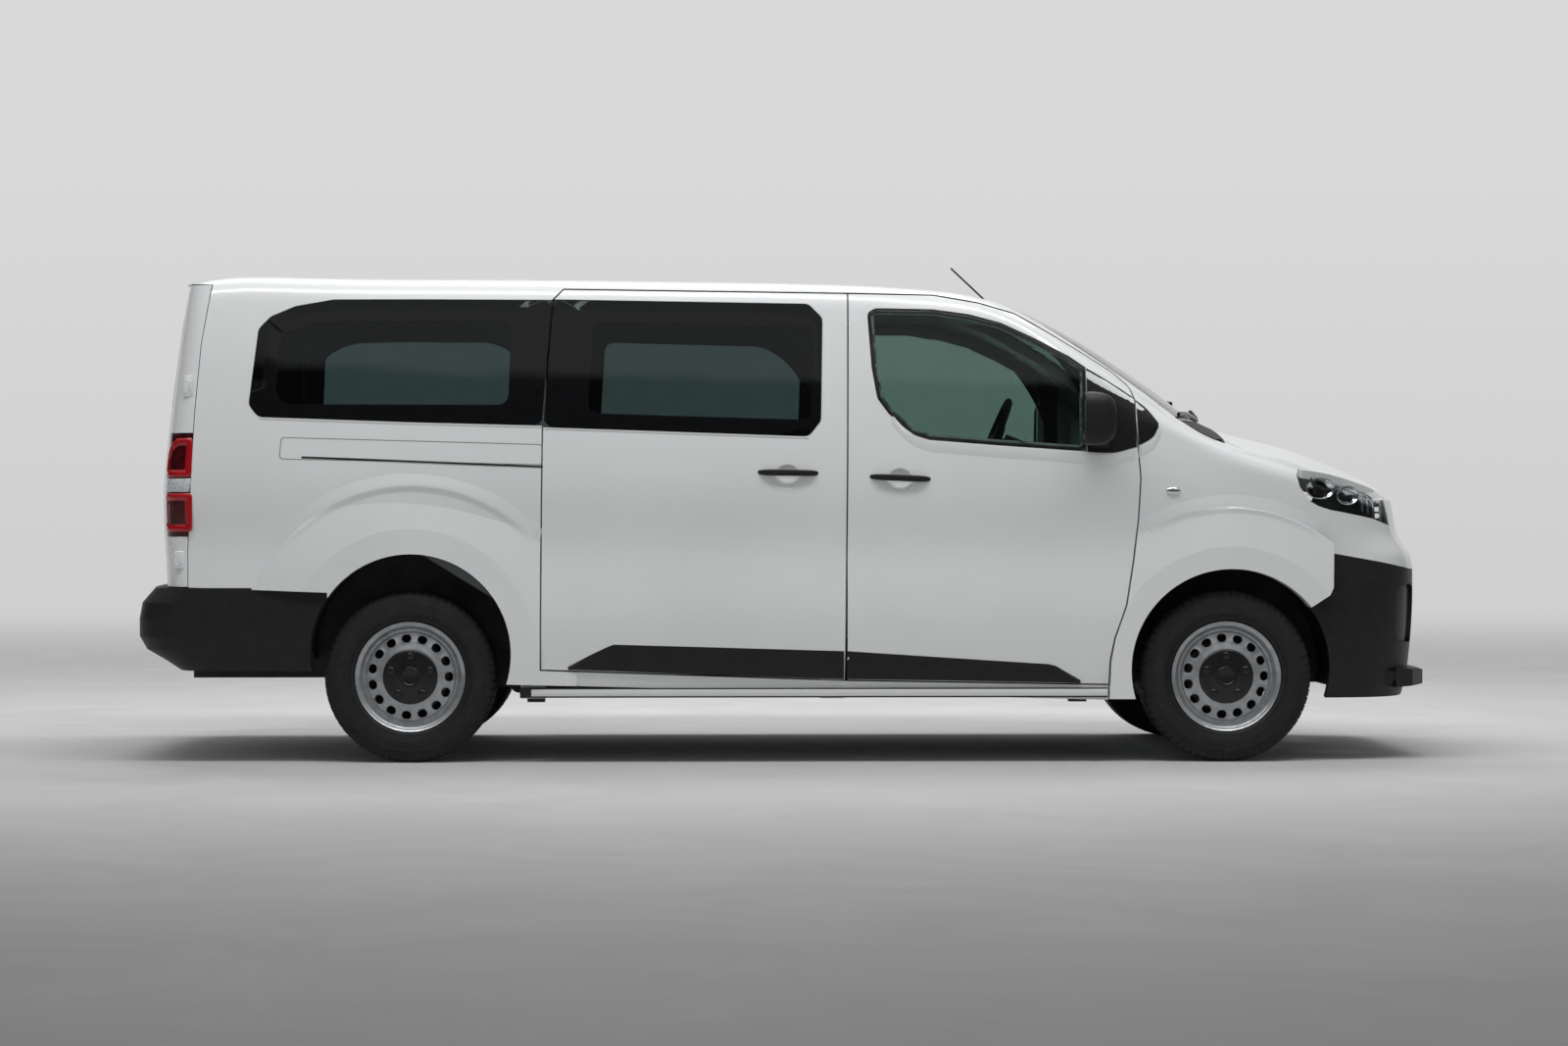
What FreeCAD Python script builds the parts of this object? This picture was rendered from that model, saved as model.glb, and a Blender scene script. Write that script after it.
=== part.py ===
import FreeCAD, Part
import math
import os

V = FreeCAD.Vector

# Minibus, 1:1 in millimetres. +X forward, +Y left, +Z up, ground at z = 0,
# origin at mid length. The right-hand side lies at -Y; left-hand pieces are mirrored.

# Overall driving dimensions
LENGTH = 5309.0
BODY_WIDTH = 1920.0
WHEELBASE = 3275.0
FRONT_OVERHANG = 881.0
FRONT_TRACK = 1627.0
REAR_TRACK = 1600.0

# Wheels and tyres
TYRE_DIAMETER = 686.0
TYRE_WIDTH = 215.0
RIM_FLANGE_DIAMETER = 441.0
RIM_HOLES = 15
FRONT_ARCH_RADIUS = 405.0
REAR_ARCH_RADIUS = 400.0
HOUSING_SHEET = 5.0
STEER_ROOM = 81.0
TYRE_SIDES = 60
FLARE_RISE = 22.0

# Sheet and panel sizes
PANEL = 44.0
SEAM = 6.0
GLASS = 6.0
FLOOR_TOP = 440.0
FLOOR_SHEET = 30.0
ROOF_HALF = 700.0

# Shape of the body sides, roof and ends
TUMBLEHOME = 142.0
SILL_TUCK = 32.0
SIDE_HOLLOW = 20.0
SCREEN_BOW = 170.0
NOSE_BOW = 115.0
TAIL_BOW = 60.0
ROOF_CROWN = 26.0
SHOULDER = 95.0
WINDOW_CORNER = 40.0
WINDOW_LIP = 24.0
BUMPER_WALL = 26.0
HANDLE_DISH_RADIUS = 50.0
HANDLE_DISH_DEPTH = 15.0

# Moving pieces
KINGPIN_Y = 745.0
STEERING_WHEEL_DIAMETER = 380.0
TOWBAR_BOLT_Y = 600.0
TOWBAR_BOLT_RADIUS = 6.5
DOOR_BEVEL_DEGREES = 12.0
STEERING_TILT_DEGREES = 22.0

FRONT_AXLE = LENGTH / 2.0 - FRONT_OVERHANG
REAR_AXLE = FRONT_AXLE - WHEELBASE
FRONT_END = LENGTH / 2.0
REAR_END = -LENGTH / 2.0
HALF = BODY_WIDTH / 2.0
WHEEL_Z = TYRE_DIAMETER / 2.0


def ahead(points):
    return [(FRONT_AXLE + x, z) for x, z in points]


def behind(points):
    return [(REAR_AXLE + x, z) for x, z in points]


# Centre line of roof, windscreen and bonnet, heights from the ground
CENTRE_LINE = behind([(-1058, 1860), (-998, 1897), (-938, 1927), (-878, 1950), (-798, 1963),
                      (-398, 1966), (302, 1960)]) + ahead([(-2172, 1952), (-1530, 1940), (-1162, 1922),
                                                           (-1004, 1908), (-894, 1888), (-792, 1858),
                                                           (-650, 1796), (-462, 1690), (-274, 1565),
                                                           (-156, 1484), (-44, 1400), (26, 1362),
                                                           (106, 1338), (182, 1318), (302, 1288),
                                                           (386, 1264), (546, 1203), (642, 1162),
                                                           (726, 1118), (806, 1060), (886, 980)])

# Nose and tail on the centre line, as height and distance along the van
NOSE_LINE = [(200, 2575), (260, 2600), (330, 2618), (400, 2628), (480, 2636), (640, 2645), (760, 2645),
             (825, 2636), (872, 2606), (925, 2578), (990, 2565), (1060, 2550), (1110, 2528), (1160, 2490),
             (1250, 2400)]
TAIL_LINE = [(300, -2536), (500, -2537), (709, -2538), (912, -2549), (1100, -2552), (1200, -2545),
             (1399, -2523), (1640, -2490), (1900, -2448), (1980, -2430)]
REAR_BUMPER_LINE = [(368, -2490), (407, -2548), (452, -2625), (505, REAR_END), (575, REAR_END),
                    (640, -2643), (700, -2592)]


def spread(a, b, count):
    return [a + (b - a) * i / count for i in range(count + 1)]


def ease(t):
    t = max(0.0, min(1.0, t))
    return t * t * (3.0 - 2.0 * t)


def lookup(points):
    line = Part.BSplineCurve()
    line.interpolate([V(a, b, 0) for a, b in points])
    steps = line.discretize(Number=300)

    def value(a):
        a = max(steps[0].x, min(steps[-1].x, a))
        low, high = 0, len(steps) - 1
        while high - low > 1:
            mid = (low + high) // 2
            if steps[mid].x <= a:
                low = mid
            else:
                high = mid
        p, q = steps[low], steps[high]
        return p.y + (q.y - p.y) * (a - p.x) / (q.x - p.x)

    return value


roof_z = lookup(CENTRE_LINE)
nose_x = lookup(NOSE_LINE)
tail_x = lookup(TAIL_LINE)


def side_y(x, z):
    y = HALF - TUMBLEHOME * max(0.0, (z - 1000.0) / 940.0) ** 1.75
    y -= SILL_TUCK * max(0.0, (590.0 - z) / 330.0) ** 1.4
    y -= SIDE_HOLLOW * math.exp(-((z - 860.0) / 170.0) ** 2)
    y -= 40.0 * max(0.0, (x - (FRONT_AXLE - 473.5)) / 750.0) ** 2
    y -= 30.0 * max(0.0, (REAR_AXLE + 301.5 - x) / 1200.0) ** 2
    return y


def top_z(x, y):
    screen = ease((x - (FRONT_AXLE - 1473.5)) / 900.0)
    hood = ease((x - (FRONT_AXLE - 173.5)) / 350.0)
    k = (y / 900.0) ** 2
    return roof_z(x + SCREEN_BOW * screen * k) - (ROOF_CROWN + 14.0 * screen + 36.0 * hood) * k


def nose_back(y):
    return NOSE_BOW * (y / 900.0) ** 2 + 60.0 * (abs(y) / 800.0) ** 6


def tail_forward(y):
    return TAIL_BOW * (abs(y) / 800.0) ** 3


def resample(points, count):
    lengths = [0.0]
    for a, b in zip(points, points[1:]):
        lengths.append(lengths[-1] + math.hypot(a[0] - b[0], a[1] - b[1]))
    out, j = [], 0
    for k in range(count + 1):
        d = lengths[-1] * k / count
        while j < len(lengths) - 2 and lengths[j + 1] < d:
            j += 1
        t = (d - lengths[j]) / (lengths[j + 1] - lengths[j])
        p, q = points[j], points[j + 1]
        out.append((p[0] + (q[0] - p[0]) * t, p[1] + (q[1] - p[1]) * t))
    return out


def rounded(start, corner, end):
    out = []
    for i in range(1, 20):
        t = i / 20.0
        a, b, c = (1 - t) ** 2, 2 * t * (1 - t), t * t
        out.append((a * start[0] + b * corner[0] + c * end[0], a * start[1] + b * corner[1] + c * end[1]))
    return out


def cross_section(x, count):
    """Right half of the body section at x, from the sill over the shoulder towards the middle."""
    r = SHOULDER - 45.0 * ease((x - (FRONT_AXLE - 1273.5)) / 900.0)
    z = 1900.0
    for _ in range(60):
        z = top_z(x, side_y(x, z))
    corner = (side_y(x, z), z)
    points = [(side_y(x, q), q) for q in spread(250.0, z - r, 60)]
    far = (corner[0] - r, top_z(x, corner[0] - r))
    points += rounded(points[-1], corner, far)
    points += [(q, top_z(x, q)) for q in spread(far[0], 560.0, 40)]
    return [V(x, -y, z) for y, z in resample(points, count)]


def end_wrap(start_x, z, end_at, r, count):
    """Full-width plan curve round one end of the van at height z."""
    sign = 1.0 if start_x > 0 else -1.0
    y = HALF - 80.0
    for _ in range(60):
        y = side_y(end_at(y, z), z)
    corner = (end_at(y, z), y)
    points = [(q, side_y(q, z)) for q in spread(start_x, corner[0] - sign * r, 30)]
    far = (end_at(corner[1] - r, z), corner[1] - r)
    points += rounded(points[-1], corner, far)
    points += [(end_at(q, z), q) for q in spread(far[1], 0.0, 60)]
    half = resample(points, count)
    right = [V(x, -y, z) for x, y in half]
    left = [V(x, y, z) for x, y in half[:-1]]
    return right + left[::-1]


def skin_face(grid, inside, depth):
    """Smooth face that follows the grid at a depth inside it."""
    rows, cols = len(grid), len(grid[0])
    points = []
    for i in range(rows):
        line = []
        for j in range(cols):
            a = grid[min(i + 1, rows - 1)][j] - grid[max(i - 1, 0)][j]
            b = grid[i][min(j + 1, cols - 1)] - grid[i][max(j - 1, 0)]
            n = a.cross(b)
            n.normalize()
            line.append(grid[i][j] + n * (inside * depth))
        points.append(line)
    surface = Part.BSplineSurface()
    surface.interpolate(points)
    return surface.toShape()


def slab(grid, inside, start, depth):
    """Solid between two skins that follow the grid, at start and depth inside it."""
    faces = [skin_face(grid, inside, d) for d in (start, depth)]
    walls = [Part.makeRuledSurface(a, b) for a, b in zip(faces[0].Edges, faces[1].Edges)]
    shell = Part.makeShell(faces + walls)
    shell.sewShape()
    solid = Part.Solid(shell)
    if solid.Volume < 0:
        solid.reverse()
    return solid


SIDE_GRID = [cross_section(x, 30) for x in spread(REAR_AXLE - 938.5, FRONT_AXLE + 466.5, 25)]
TOP_GRID = [[V(p - SCREEN_BOW * ease((p - (FRONT_AXLE - 1473.5)) / 900.0) * (y / 900.0) ** 2, y,
               top_z(p - SCREEN_BOW * ease((p - (FRONT_AXLE - 1473.5)) / 900.0) * (y / 900.0) ** 2, y))
             for y in spread(-860.0, 860.0, 12)] for p in spread(REAR_AXLE - 938.5, FRONT_AXLE + 771.5, 36)]
NOSE_GRID = [end_wrap(FRONT_AXLE + 176.5, z, lambda y, q: nose_x(q) - nose_back(y), 140.0, 16)
             for z in spread(255.0, 1200.0, 18)]
TAIL_GRID = [end_wrap(REAR_AXLE - 748.5, z, lambda y, q: tail_x(q) + tail_forward(y), 75.0, 16)
             for z in spread(690.0, 1925.0, 18)]


def side_slab(start, depth):
    return slab(SIDE_GRID, -1.0, start, depth)


def side_core(depth):
    """Everything within 500 mm of the right-hand inner skin."""
    return skin_face(SIDE_GRID, -1.0, depth).extrude(V(0, 400, -300))


def top_slab(start, depth):
    return slab(TOP_GRID, -1.0, start, depth)


def nose_slab(start, depth):
    return slab(NOSE_GRID, 1.0, start, depth)


def tail_slab(start, depth):
    return slab(TAIL_GRID, -1.0, start, depth)


def outline(points, offset=0.0):
    """Closed XZ wire at y = 0, grown by offset."""
    line = [V(x, 0, z) for x, z in points]
    wire = Part.makePolygon(line + [line[0]])
    if offset:
        wire = wire.makeOffset2D(offset, 2)
    return wire


def across(points, y0, y1, offset=0.0):
    """Prism along Y of an XZ outline."""
    face = Part.Face(outline(points, offset))
    face.translate(V(0, y0, 0))
    return face.extrude(V(0, y1 - y0, 0))


def along(points, x0, x1):
    """Prism along X of a YZ outline."""
    line = [V(x0, y, z) for y, z in points]
    return Part.Face(Part.makePolygon(line + [line[0]])).extrude(V(x1 - x0, 0, 0))


def upright(points, z0, z1):
    """Prism along Z of an XY outline."""
    line = [V(x, y, z0) for x, y in points]
    return Part.Face(Part.makePolygon(line + [line[0]])).extrude(V(0, 0, z1 - z0))


def box(x0, x1, y0, y1, z0, z1):
    return Part.makeBox(x1 - x0, y1 - y0, z1 - z0, V(x0, y0, z0))


def disc(x, z, r, y0, y1):
    """Cylinder along Y."""
    return Part.makeCylinder(r, y1 - y0, V(x, y0, z), V(0, 1, 0))


def main_piece(shape):
    return max(shape.Solids, key=lambda s: s.Volume)


def left(shape):
    return shape.mirror(V(0, 0, 0), V(0, 1, 0))


def lateral_edges(shape):
    """Straight edges of a block that run across the van."""
    return [e for e in shape.Edges if abs(e.tangentAt(e.FirstParameter).y) > 0.9]


# Outlines on the right-hand side, as seen from the side
REAR_SEAM = behind([(-800, 1919), (-836, 1678), (-856, 1404), (-882, 855), (-880, 702)])
FRONT_DOOR = ahead([(-1520, 1885), (-1174, 1879), (-992, 1847), (-846, 1804), (-720, 1734), (-582, 1656),
                    (-446, 1570), (-390, 1515), (-370, 1452), (-370, 1384), (-360, 1258), (-350, 1142),
                    (-360, 961), (-378, 811), (-408, 630), (-454, 500), (-472, 409), (-476, 312),
                    (-1534, 330), (-1532, 446), (-1528, 861)])
SLIDING_DOOR = ahead([(-2664, 1900), (-1520, 1885), (-1528, 861), (-1532, 446), (-1534, 330),
                      (-2752, 372), (-2750, 861), (-2744, 1348), (-2706, 1856)])
SIDE_PANEL = behind([(-938, 2100), (-938, 1927), (-800, 1919), (-836, 1678), (-856, 1404), (-882, 855),
                     (-880, 702), (-324, 682), (-324, 335)]) + ahead([(-478, 250), (-478, 700),
                                                                      (-384, 1380), (-368, 1386),
                                                                      (-290, 1406), (-240, 1461),
                                                                      (-154, 1540), (-154, 2100)])
WING = ahead([(-476, 255), (-472, 409), (-454, 500), (-408, 630), (-378, 811), (-360, 961), (-350, 1142),
              (-360, 1258), (-370, 1386), (-290, 1406), (-240, 1461), (-74, 1480), (314, 1300),
              (312, 1200), (282, 1153), (296, 1103), (338, 1047), (374, 1026), (428, 1010), (428, 838),
              (424, 700), (410, 670), (328, 617), (328, 255)])
BUMPER_TOP = ahead([(328, 617), (410, 670), (424, 700), (428, 838), (646, 800), (786, 772), (1026, 767),
                    (1026, 100), (328, 100)])
NOSE_REGION = ahead([(428, 1010), (428, 838), (646, 800), (786, 772), (1026, 767), (1026, 1052),
                     (666, 1052), (692, 948), (608, 976), (454, 1006)])
LAMP = ahead([(282, 1153), (312, 1200), (826, 1200), (826, 1052), (666, 1052), (678, 1011), (692, 948),
              (608, 976), (454, 1006), (374, 1026), (338, 1047), (296, 1103)])
QUARTER_GLASS = behind([(-610, 1738), (-562, 1788), (-464, 1830), (-310, 1857),
                        (2, 1858)]) + ahead([(-2674, 1856), (-2674, 1345),
                                             (-3274, 1360)]) + behind([(-604, 1381), (-644, 1430)])
SLIDING_GLASS = ahead([(-2764, 1859), (-1680, 1842), (-1622, 1784), (-1630, 1367), (-1680, 1304),
                       (-2764, 1341)])
FRONT_GLASS = ahead([(-1444, 1811), (-1406, 1824), (-1178, 1820), (-1034, 1800), (-906, 1766),
                     (-770, 1703), (-634, 1631), (-566, 1585), (-566, 1245), (-906, 1268), (-1198, 1291),
                     (-1270, 1313), (-1360, 1395), (-1406, 1458), (-1428, 1585)])
SCREEN = [(-640, 1874), (640, 1874), (770, 1374), (-770, 1374)]
REAR_DOORS = REAR_SEAM + [(REAR_END - 50.0, 702), (REAR_END - 50.0, 1919)]
RAIL_SLOT = behind([(-436, 1213), (-426, 1225)]) + ahead([(-2734, 1187), (-2734, 1176)])
BUMPER_POCKET = ahead([(704, 520), (726, 478), (806, 470), (826, 500), (826, 690), (786, 712),
                       (726, 700), (704, 660)])


def window(points, grow=0.0):
    """Prism of a window outline, rounded but for the corners of its upright edge."""
    prism = across(points, -1100, -500, grow)
    upright_x = [a[0] for a, b in zip(points, points[1:] + points[:1]) if a[0] == b[0]]
    corners = [e for e in lateral_edges(prism)
               if min(abs(e.CenterOfMass.x - x) for x in upright_x) > abs(grow) + 1.0]
    return prism.makeFillet(WINDOW_CORNER + grow, corners)


def glazed(panel, points):
    """Cut a stepped opening for a flush pane; return the panel and its pane."""
    panel = panel.cut(window(points, -WINDOW_LIP)).cut(side_slab(-4.0, GLASS).common(window(points)))
    return panel, side_slab(0.0, GLASS).common(window(points, -2.0))


def arch(x, z, r, y0=-1100.0, y1=-600.0):
    return disc(x, z, r, y0, y1)


def rear_arch():
    return arch(REAR_AXLE + 6.0, WHEEL_Z + 92.0, REAR_ARCH_RADIUS)


def front_arch():
    return arch(FRONT_AXLE + 16.0, WHEEL_Z + 27.0, FRONT_ARCH_RADIUS)


def flare(x, z, big, small):
    """Gentle swelling round a wheel arch, a low cone on a short drum."""
    base = FLARE_RISE - HALF - 4.0
    cone = Part.makeCone(big, small, FLARE_RISE, V(x, base, z), V(0, -1, 0))
    cone = cone.fuse(disc(x, z, big, base, base + 20.0))
    return cone.cut(side_core(PANEL / 2.0))


def roof_zone(gap=0.0):
    """Space over the sides that belongs to the roof, grown by a gap."""
    return box(REAR_END, FRONT_AXLE - 700.0, -ROOF_HALF - gap, ROOF_HALF + gap, 1874.0 - gap, 2100)


def screen_zone(gap=0.0):
    """Space between the sides that belongs to the windscreen, grown by a gap."""
    grown = [(y * (1.0 + gap / ROOF_HALF), z + math.copysign(gap, z - 1600.0)) for y, z in SCREEN]
    return along(grown, FRONT_AXLE - 1100.0, FRONT_AXLE + 200.0)


def dish(panel, x, z):
    """Hollow the panel behind a door handle for the fingers."""
    r = (HANDLE_DISH_RADIUS ** 2 + HANDLE_DISH_DEPTH ** 2) / (2.0 * HANDLE_DISH_DEPTH)
    return panel.cut(Part.makeSphere(r, V(x, -side_y(x, z) + HANDLE_DISH_DEPTH - r, z)))


def flat_sided(profile, sides):
    """Solid about the Y axis with flat sides, from closed (axial, radial) points."""
    turns = [2.0 * math.pi * i / sides for i in range(sides)]
    rings = [[V(r * math.cos(a), y, r * math.sin(a)) for a in turns] for y, r in profile]
    faces = []
    for near, far in zip(rings, rings[1:] + rings[:1]):
        for i in range(sides):
            j = (i + 1) % sides
            faces.append(Part.Face(Part.makePolygon([near[i], near[j], far[j], far[i], near[i]])))
    shell = Part.makeShell(faces)
    shell.sewShape()
    solid = Part.Solid(shell)
    if solid.Volume < 0:
        solid.reverse()
    return solid


def many_sided_bar(x, z, r, y0, y1, sides):
    """Straight bar along Y with a regular section."""
    turns = [2.0 * math.pi * i / sides for i in range(sides)]
    return across([(x + r * math.cos(a), z + r * math.sin(a)) for a in turns], y0, y1)


def wheel():
    """Tyre, steel rim and centre cap about the origin, outer side at -Y."""
    r = TYRE_DIAMETER / 2.0
    w = TYRE_WIDTH / 2.0
    flange = RIM_FLANGE_DIAMETER / 2.0
    bead = flange - 12.0
    tyre = flat_sided([(-w + 27, bead), (-w + 27, bead + 14), (-w, bead + 44), (-w + 5, r - 24),
                       (-w + 30, r),
                       (w - 30, r), (w - 5, r - 24), (w, bead + 44), (w - 27, bead + 14), (w - 27, bead)],
                      TYRE_SIDES)
    rim = flat_sided([(-w + 21, flange), (-w + 27, bead), (w - 27, bead), (w - 21, flange), (w - 15,
                                                                                             flange),
                      (w - 21, bead - 10), (-w + 62, bead - 12), (-w + 52, 180), (-w + 34, 128),
                      (-w + 28, 112), (-w + 28, 36), (-w + 20, 36), (-w + 20, 112), (-w + 26, 130),
                      (-w + 44, 182), (-w + 46, bead - 16), (-w + 15, flange)], TYRE_SIDES)
    for i in range(RIM_HOLES):
        a = 2.0 * math.pi * (i + 0.5) / RIM_HOLES
        rim = rim.cut(many_sided_bar(154.0 * math.cos(a), 154.0 * math.sin(a), 18.5, -w, w, 12))
    rings = []
    for axial, radial in ((-w + 20, 110.0), (-w + 10, 104.0), (-w + 3, 62.0)):
        turns = [2.0 * math.pi * i / TYRE_SIDES for i in range(TYRE_SIDES + 1)]
        rings.append(Part.makePolygon([V(radial * math.cos(a), axial,
                                         radial * math.sin(a)) for a in turns]))
    cap = Part.makeLoft(rings, True, True)
    return tyre, rim, cap


def placed(shape, x, y, z):
    out = shape.copy()
    out.translate(V(x, y, z))
    return out


def build_sides(parts):
    skin = side_slab(0.0, PANEL)
    region = across(SIDE_PANEL, -1100, -500)
    panel = skin.common(region).cut(across(FRONT_DOOR, -1100, -500, SEAM / 2.0))
    panel = panel.cut(roof_zone()).cut(screen_zone())
    rear_flare = flare(REAR_AXLE + 6.0, WHEEL_Z + 92.0, 672.0, 500.0)
    panel = main_piece(panel).fuse(rear_flare.common(region)).cut(rear_arch())
    plain, quarter = glazed(panel, QUARTER_GLASS)
    plain, middle = glazed(plain, SLIDING_GLASS)
    parts["side_panel_left"] = left(main_piece(plain))
    middle = middle.cut(across(QUARTER_GLASS, -1100, -500, 3.0))
    fixed_left = [left(main_piece(quarter)), left(main_piece(middle))]
    panel = panel.cut(across(SLIDING_DOOR, -1100, -500, SEAM / 2.0))
    panel, quarter = glazed(main_piece(panel), QUARTER_GLASS)
    panel = main_piece(panel).cut(across(RAIL_SLOT, -HALF - 40.0, -HALF + 20.0))
    parts["side_panel_right"] = main_piece(panel)
    fixed_right = main_piece(quarter.cut(across(SLIDING_DOOR, -1100, -500, SEAM / 2.0)))
    parts["fixed_side_glass"] = Part.makeCompound(fixed_left + [fixed_right])

    door = skin.common(across(SLIDING_DOOR, -1100, -500, -SEAM / 2.0)).cut(roof_zone(SEAM / 2.0))
    door, pane = glazed(main_piece(door), SLIDING_GLASS)
    parts["sliding_door"] = dish(main_piece(door), FRONT_AXLE - 1765.5, 1148.0)
    parts["sliding_door_glass"] = main_piece(pane.common(across(SLIDING_DOOR, -1100, -500, -SEAM / 2.0)))

    core = side_core(PANEL)
    posts = []
    for start, width, top in ((-1633.5, 98.0, 1925), (-2833.5, 100.0, 1925), (-448.5, 145.0, 1410)):
        x0, x1 = FRONT_AXLE + start, FRONT_AXLE + start + width
        low = core.common(box(x0, x1, -1000, -830, 256, min(top, 1560)))
        if top > 1560:
            low = low.fuse(core.common(box(x0, x1, -1000, -745, 1500, top)))
        posts.append(main_piece(low.cut(front_arch())))
    parts["door_posts"] = Part.makeCompound(posts + [left(s) for s in posts])


def build_front_doors(parts):
    door = side_slab(0.0, PANEL).common(across(FRONT_DOOR, -1100, -500, -SEAM / 2.0))
    door = door.cut(roof_zone(SEAM)).cut(screen_zone(SEAM))
    bevel = math.tan(math.radians(DOOR_BEVEL_DEGREES))
    edge = Part.BSplineCurve()
    edge.interpolate([V(FRONT_AXLE - 1525.5 - 20.0 * bevel, -side_y(FRONT_AXLE - 1523.5, z) - 20.0, z)
                      for z in spread(250.0, 2000.0, 14)])
    door = door.cut(edge.toShape().extrude(V(100.0 * bevel, 100.0, 0)).extrude(V(-60, 0, 0)))
    door, pane = glazed(main_piece(door), FRONT_GLASS)
    door = dish(main_piece(door), FRONT_AXLE - 1315.5, 1132.0)
    parts["front_door_right"] = door
    parts["front_door_glass_right"] = main_piece(pane)
    head = box(FRONT_AXLE - 584.5, FRONT_AXLE - 454.5, -1102, -985, 1265, 1484)
    head = head.makeFillet(38.0, [e for e in lateral_edges(head) if e.CenterOfMass.z > 1400])
    head = head.makeFillet(22.0, [e for e in lateral_edges(head) if e.CenterOfMass.z < 1300])
    arm = box(FRONT_AXLE - 541.5, FRONT_AXLE - 473.5, -1000, -915, 1272, 1318)
    parts["door_mirror_right"] = main_piece(head.fuse(arm).cut(door).cut(pane))
    grip = box(FRONT_AXLE - 1436.5, FRONT_AXLE - 1193.5, -975, -957, 1122, 1145)
    for x in (FRONT_AXLE - 1431.5, FRONT_AXLE - 1222.5):
        grip = grip.fuse(box(x, x + 24.0, -960, -930, 1122, 1145))
    grip = grip.cut(door)
    parts["front_door_handle_right"] = main_piece(grip)
    for name in ("front_door", "front_door_glass", "door_mirror", "front_door_handle"):
        parts[name + "_left"] = left(parts[name + "_right"])


def build_top(parts):
    skin = top_slab(0.0, PANEL)
    roof = skin.common(roof_zone()).cut(across(REAR_DOORS, -1100, 1100, SEAM / 2.0))
    parts["roof_panel"] = main_piece(roof)
    far = FRONT_AXLE + 200.0
    inner = [(y * 0.985, z - math.copysign(3.0, z - 1600.0)) for y, z in SCREEN]
    glass_zone = along(inner, FRONT_AXLE - 1073.5, far)
    parts["windscreen"] = main_piece(top_slab(0.0, GLASS).common(glass_zone))
    clear = along([(-590, 1830), (590, 1830), (700, 1420), (-700, 1420)], FRONT_AXLE - 1073.5, far)
    frame = top_slab(GLASS, PANEL).common(along(SCREEN, FRONT_AXLE - 1073.5, far)).cut(clear)
    parts["windscreen_frame"] = main_piece(frame)
    shut = ahead([(24, -690), (102, -812), (216, -822), (318, -826), (352, -790), (454, -676),
                  (526, -616), (666, -560), (826, -540)])
    plan = shut + [(x, -y) for x, y in reversed(shut)]
    hood = top_slab(0.0, 30.0).common(upright(plan, 1000, 1500))
    hood = hood.common(box(FRONT_AXLE - 73.5, FRONT_END, -900, 900, 1062, 1500))
    parts["bonnet"] = main_piece(hood)
    cowl_plan = [(FRONT_AXLE - 213.5, -760), (FRONT_AXLE + 17.5, -760), (FRONT_AXLE + 17.5, 760),
                 (FRONT_AXLE - 213.5, 760)]
    cowl = skin.common(upright(cowl_plan, 1300, 1373))
    parts["cowl"] = main_piece(cowl)


def build_nose(parts):
    skin = nose_slab(0.0, PANEL)
    under = skin_face(TOP_GRID, -1.0, 0.0).extrude(V(0, 0, -1200))
    lid = skin_face(TOP_GRID, -1.0, 36.0).extrude(V(0, 0, -1200))
    plan = ahead([(216, -834), (322, -834), (358, -796), (460, -682), (532, -622), (672, -566),
                  (826, -546), (826, -400), (216, -400)])
    lamp = skin.common(across(LAMP, -1100, -556)).common(under)
    parts["headlamp_right"] = main_piece(lamp.cut(upright(plan, 900, 1500).cut(lid)))
    parts["headlamp_left"] = left(parts["headlamp_right"])
    nose = skin.common(across(NOSE_REGION, -1100, 1100)).cut(lamp).cut(left(lamp))
    grille_gap = box(FRONT_AXLE + 526.5, FRONT_END, -500, 500, 968, 1036)
    grille = nose.common(grille_gap)
    parts["nose_panel"] = main_piece(nose.cut(grille_gap))
    slats = grille.cut(box(FRONT_AXLE + 526.5, FRONT_END, -480, 480, 978, 998)).cut(
        box(FRONT_AXLE + 526.5, FRONT_END, -480, 480, 1006, 1026))
    parts["grille"] = main_piece(slats)
    bumper = skin.common(across(BUMPER_TOP, -1100, 1100)).cut(front_arch()).cut(left(front_arch()))
    for z in spread(440.0, 620.0, 4):
        bumper = bumper.cut(box(FRONT_AXLE + 726.5, FRONT_END, -480, 480, z, z + 22.0))
    pocket = nose_slab(-4.0, 20.0).common(across(BUMPER_POCKET, -1100, -520))
    bumper = main_piece(bumper.cut(pocket).cut(left(pocket)))
    edge = ahead([(706, -800), (786, -740)]) + [(FRONT_END - 26.0, -600), (FRONT_END - 6.0, -400),
                                                (FRONT_END, -200)]
    edge += [(x, -y) for x, y in reversed(edge)] + ahead([(706, 600), (706, -600)])
    section = ahead([(696, 368), (696, 292), (858, 300), (874, 321)]) + [(FRONT_END, 352),
                                                                         (FRONT_END - 54.0, 364)]
    blade = across(section, -820, 820)
    bumper = bumper.fuse(blade.common(upright(edge, 200, 500)))
    parts["front_bumper"] = main_piece(bumper)
    wing = side_slab(0.0, PANEL).common(across(WING, -1100, -500)).cut(
        across(FRONT_DOOR, -1100, -500, SEAM / 2.0))
    plan = ahead([(20, -600), (20, -687), (102, -815), (216, -826), (326, -829), (526, -829),
                  (526, -400), (20, -400)])
    wing = wing.cut(upright(plan, 1100, 1500)).cut(along(SCREEN, FRONT_AXLE - 1073.5, FRONT_AXLE + 200.0))
    wing = wing.cut(box(FRONT_AXLE - 273.5, FRONT_AXLE + 20.5, -760, -400, 1250, 1500))
    swell = flare(FRONT_AXLE + 16.0, WHEEL_Z + 27.0, 653.0, 494.0).common(across(WING, -1100, -500))
    wing = wing.fuse(swell.cut(across(FRONT_DOOR, -1100, -500, SEAM / 2.0))).cut(front_arch())
    parts["front_wing_right"] = main_piece(main_piece(wing).cut(parts["side_panel_right"]))
    parts["front_wing_left"] = left(parts["front_wing_right"])


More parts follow.
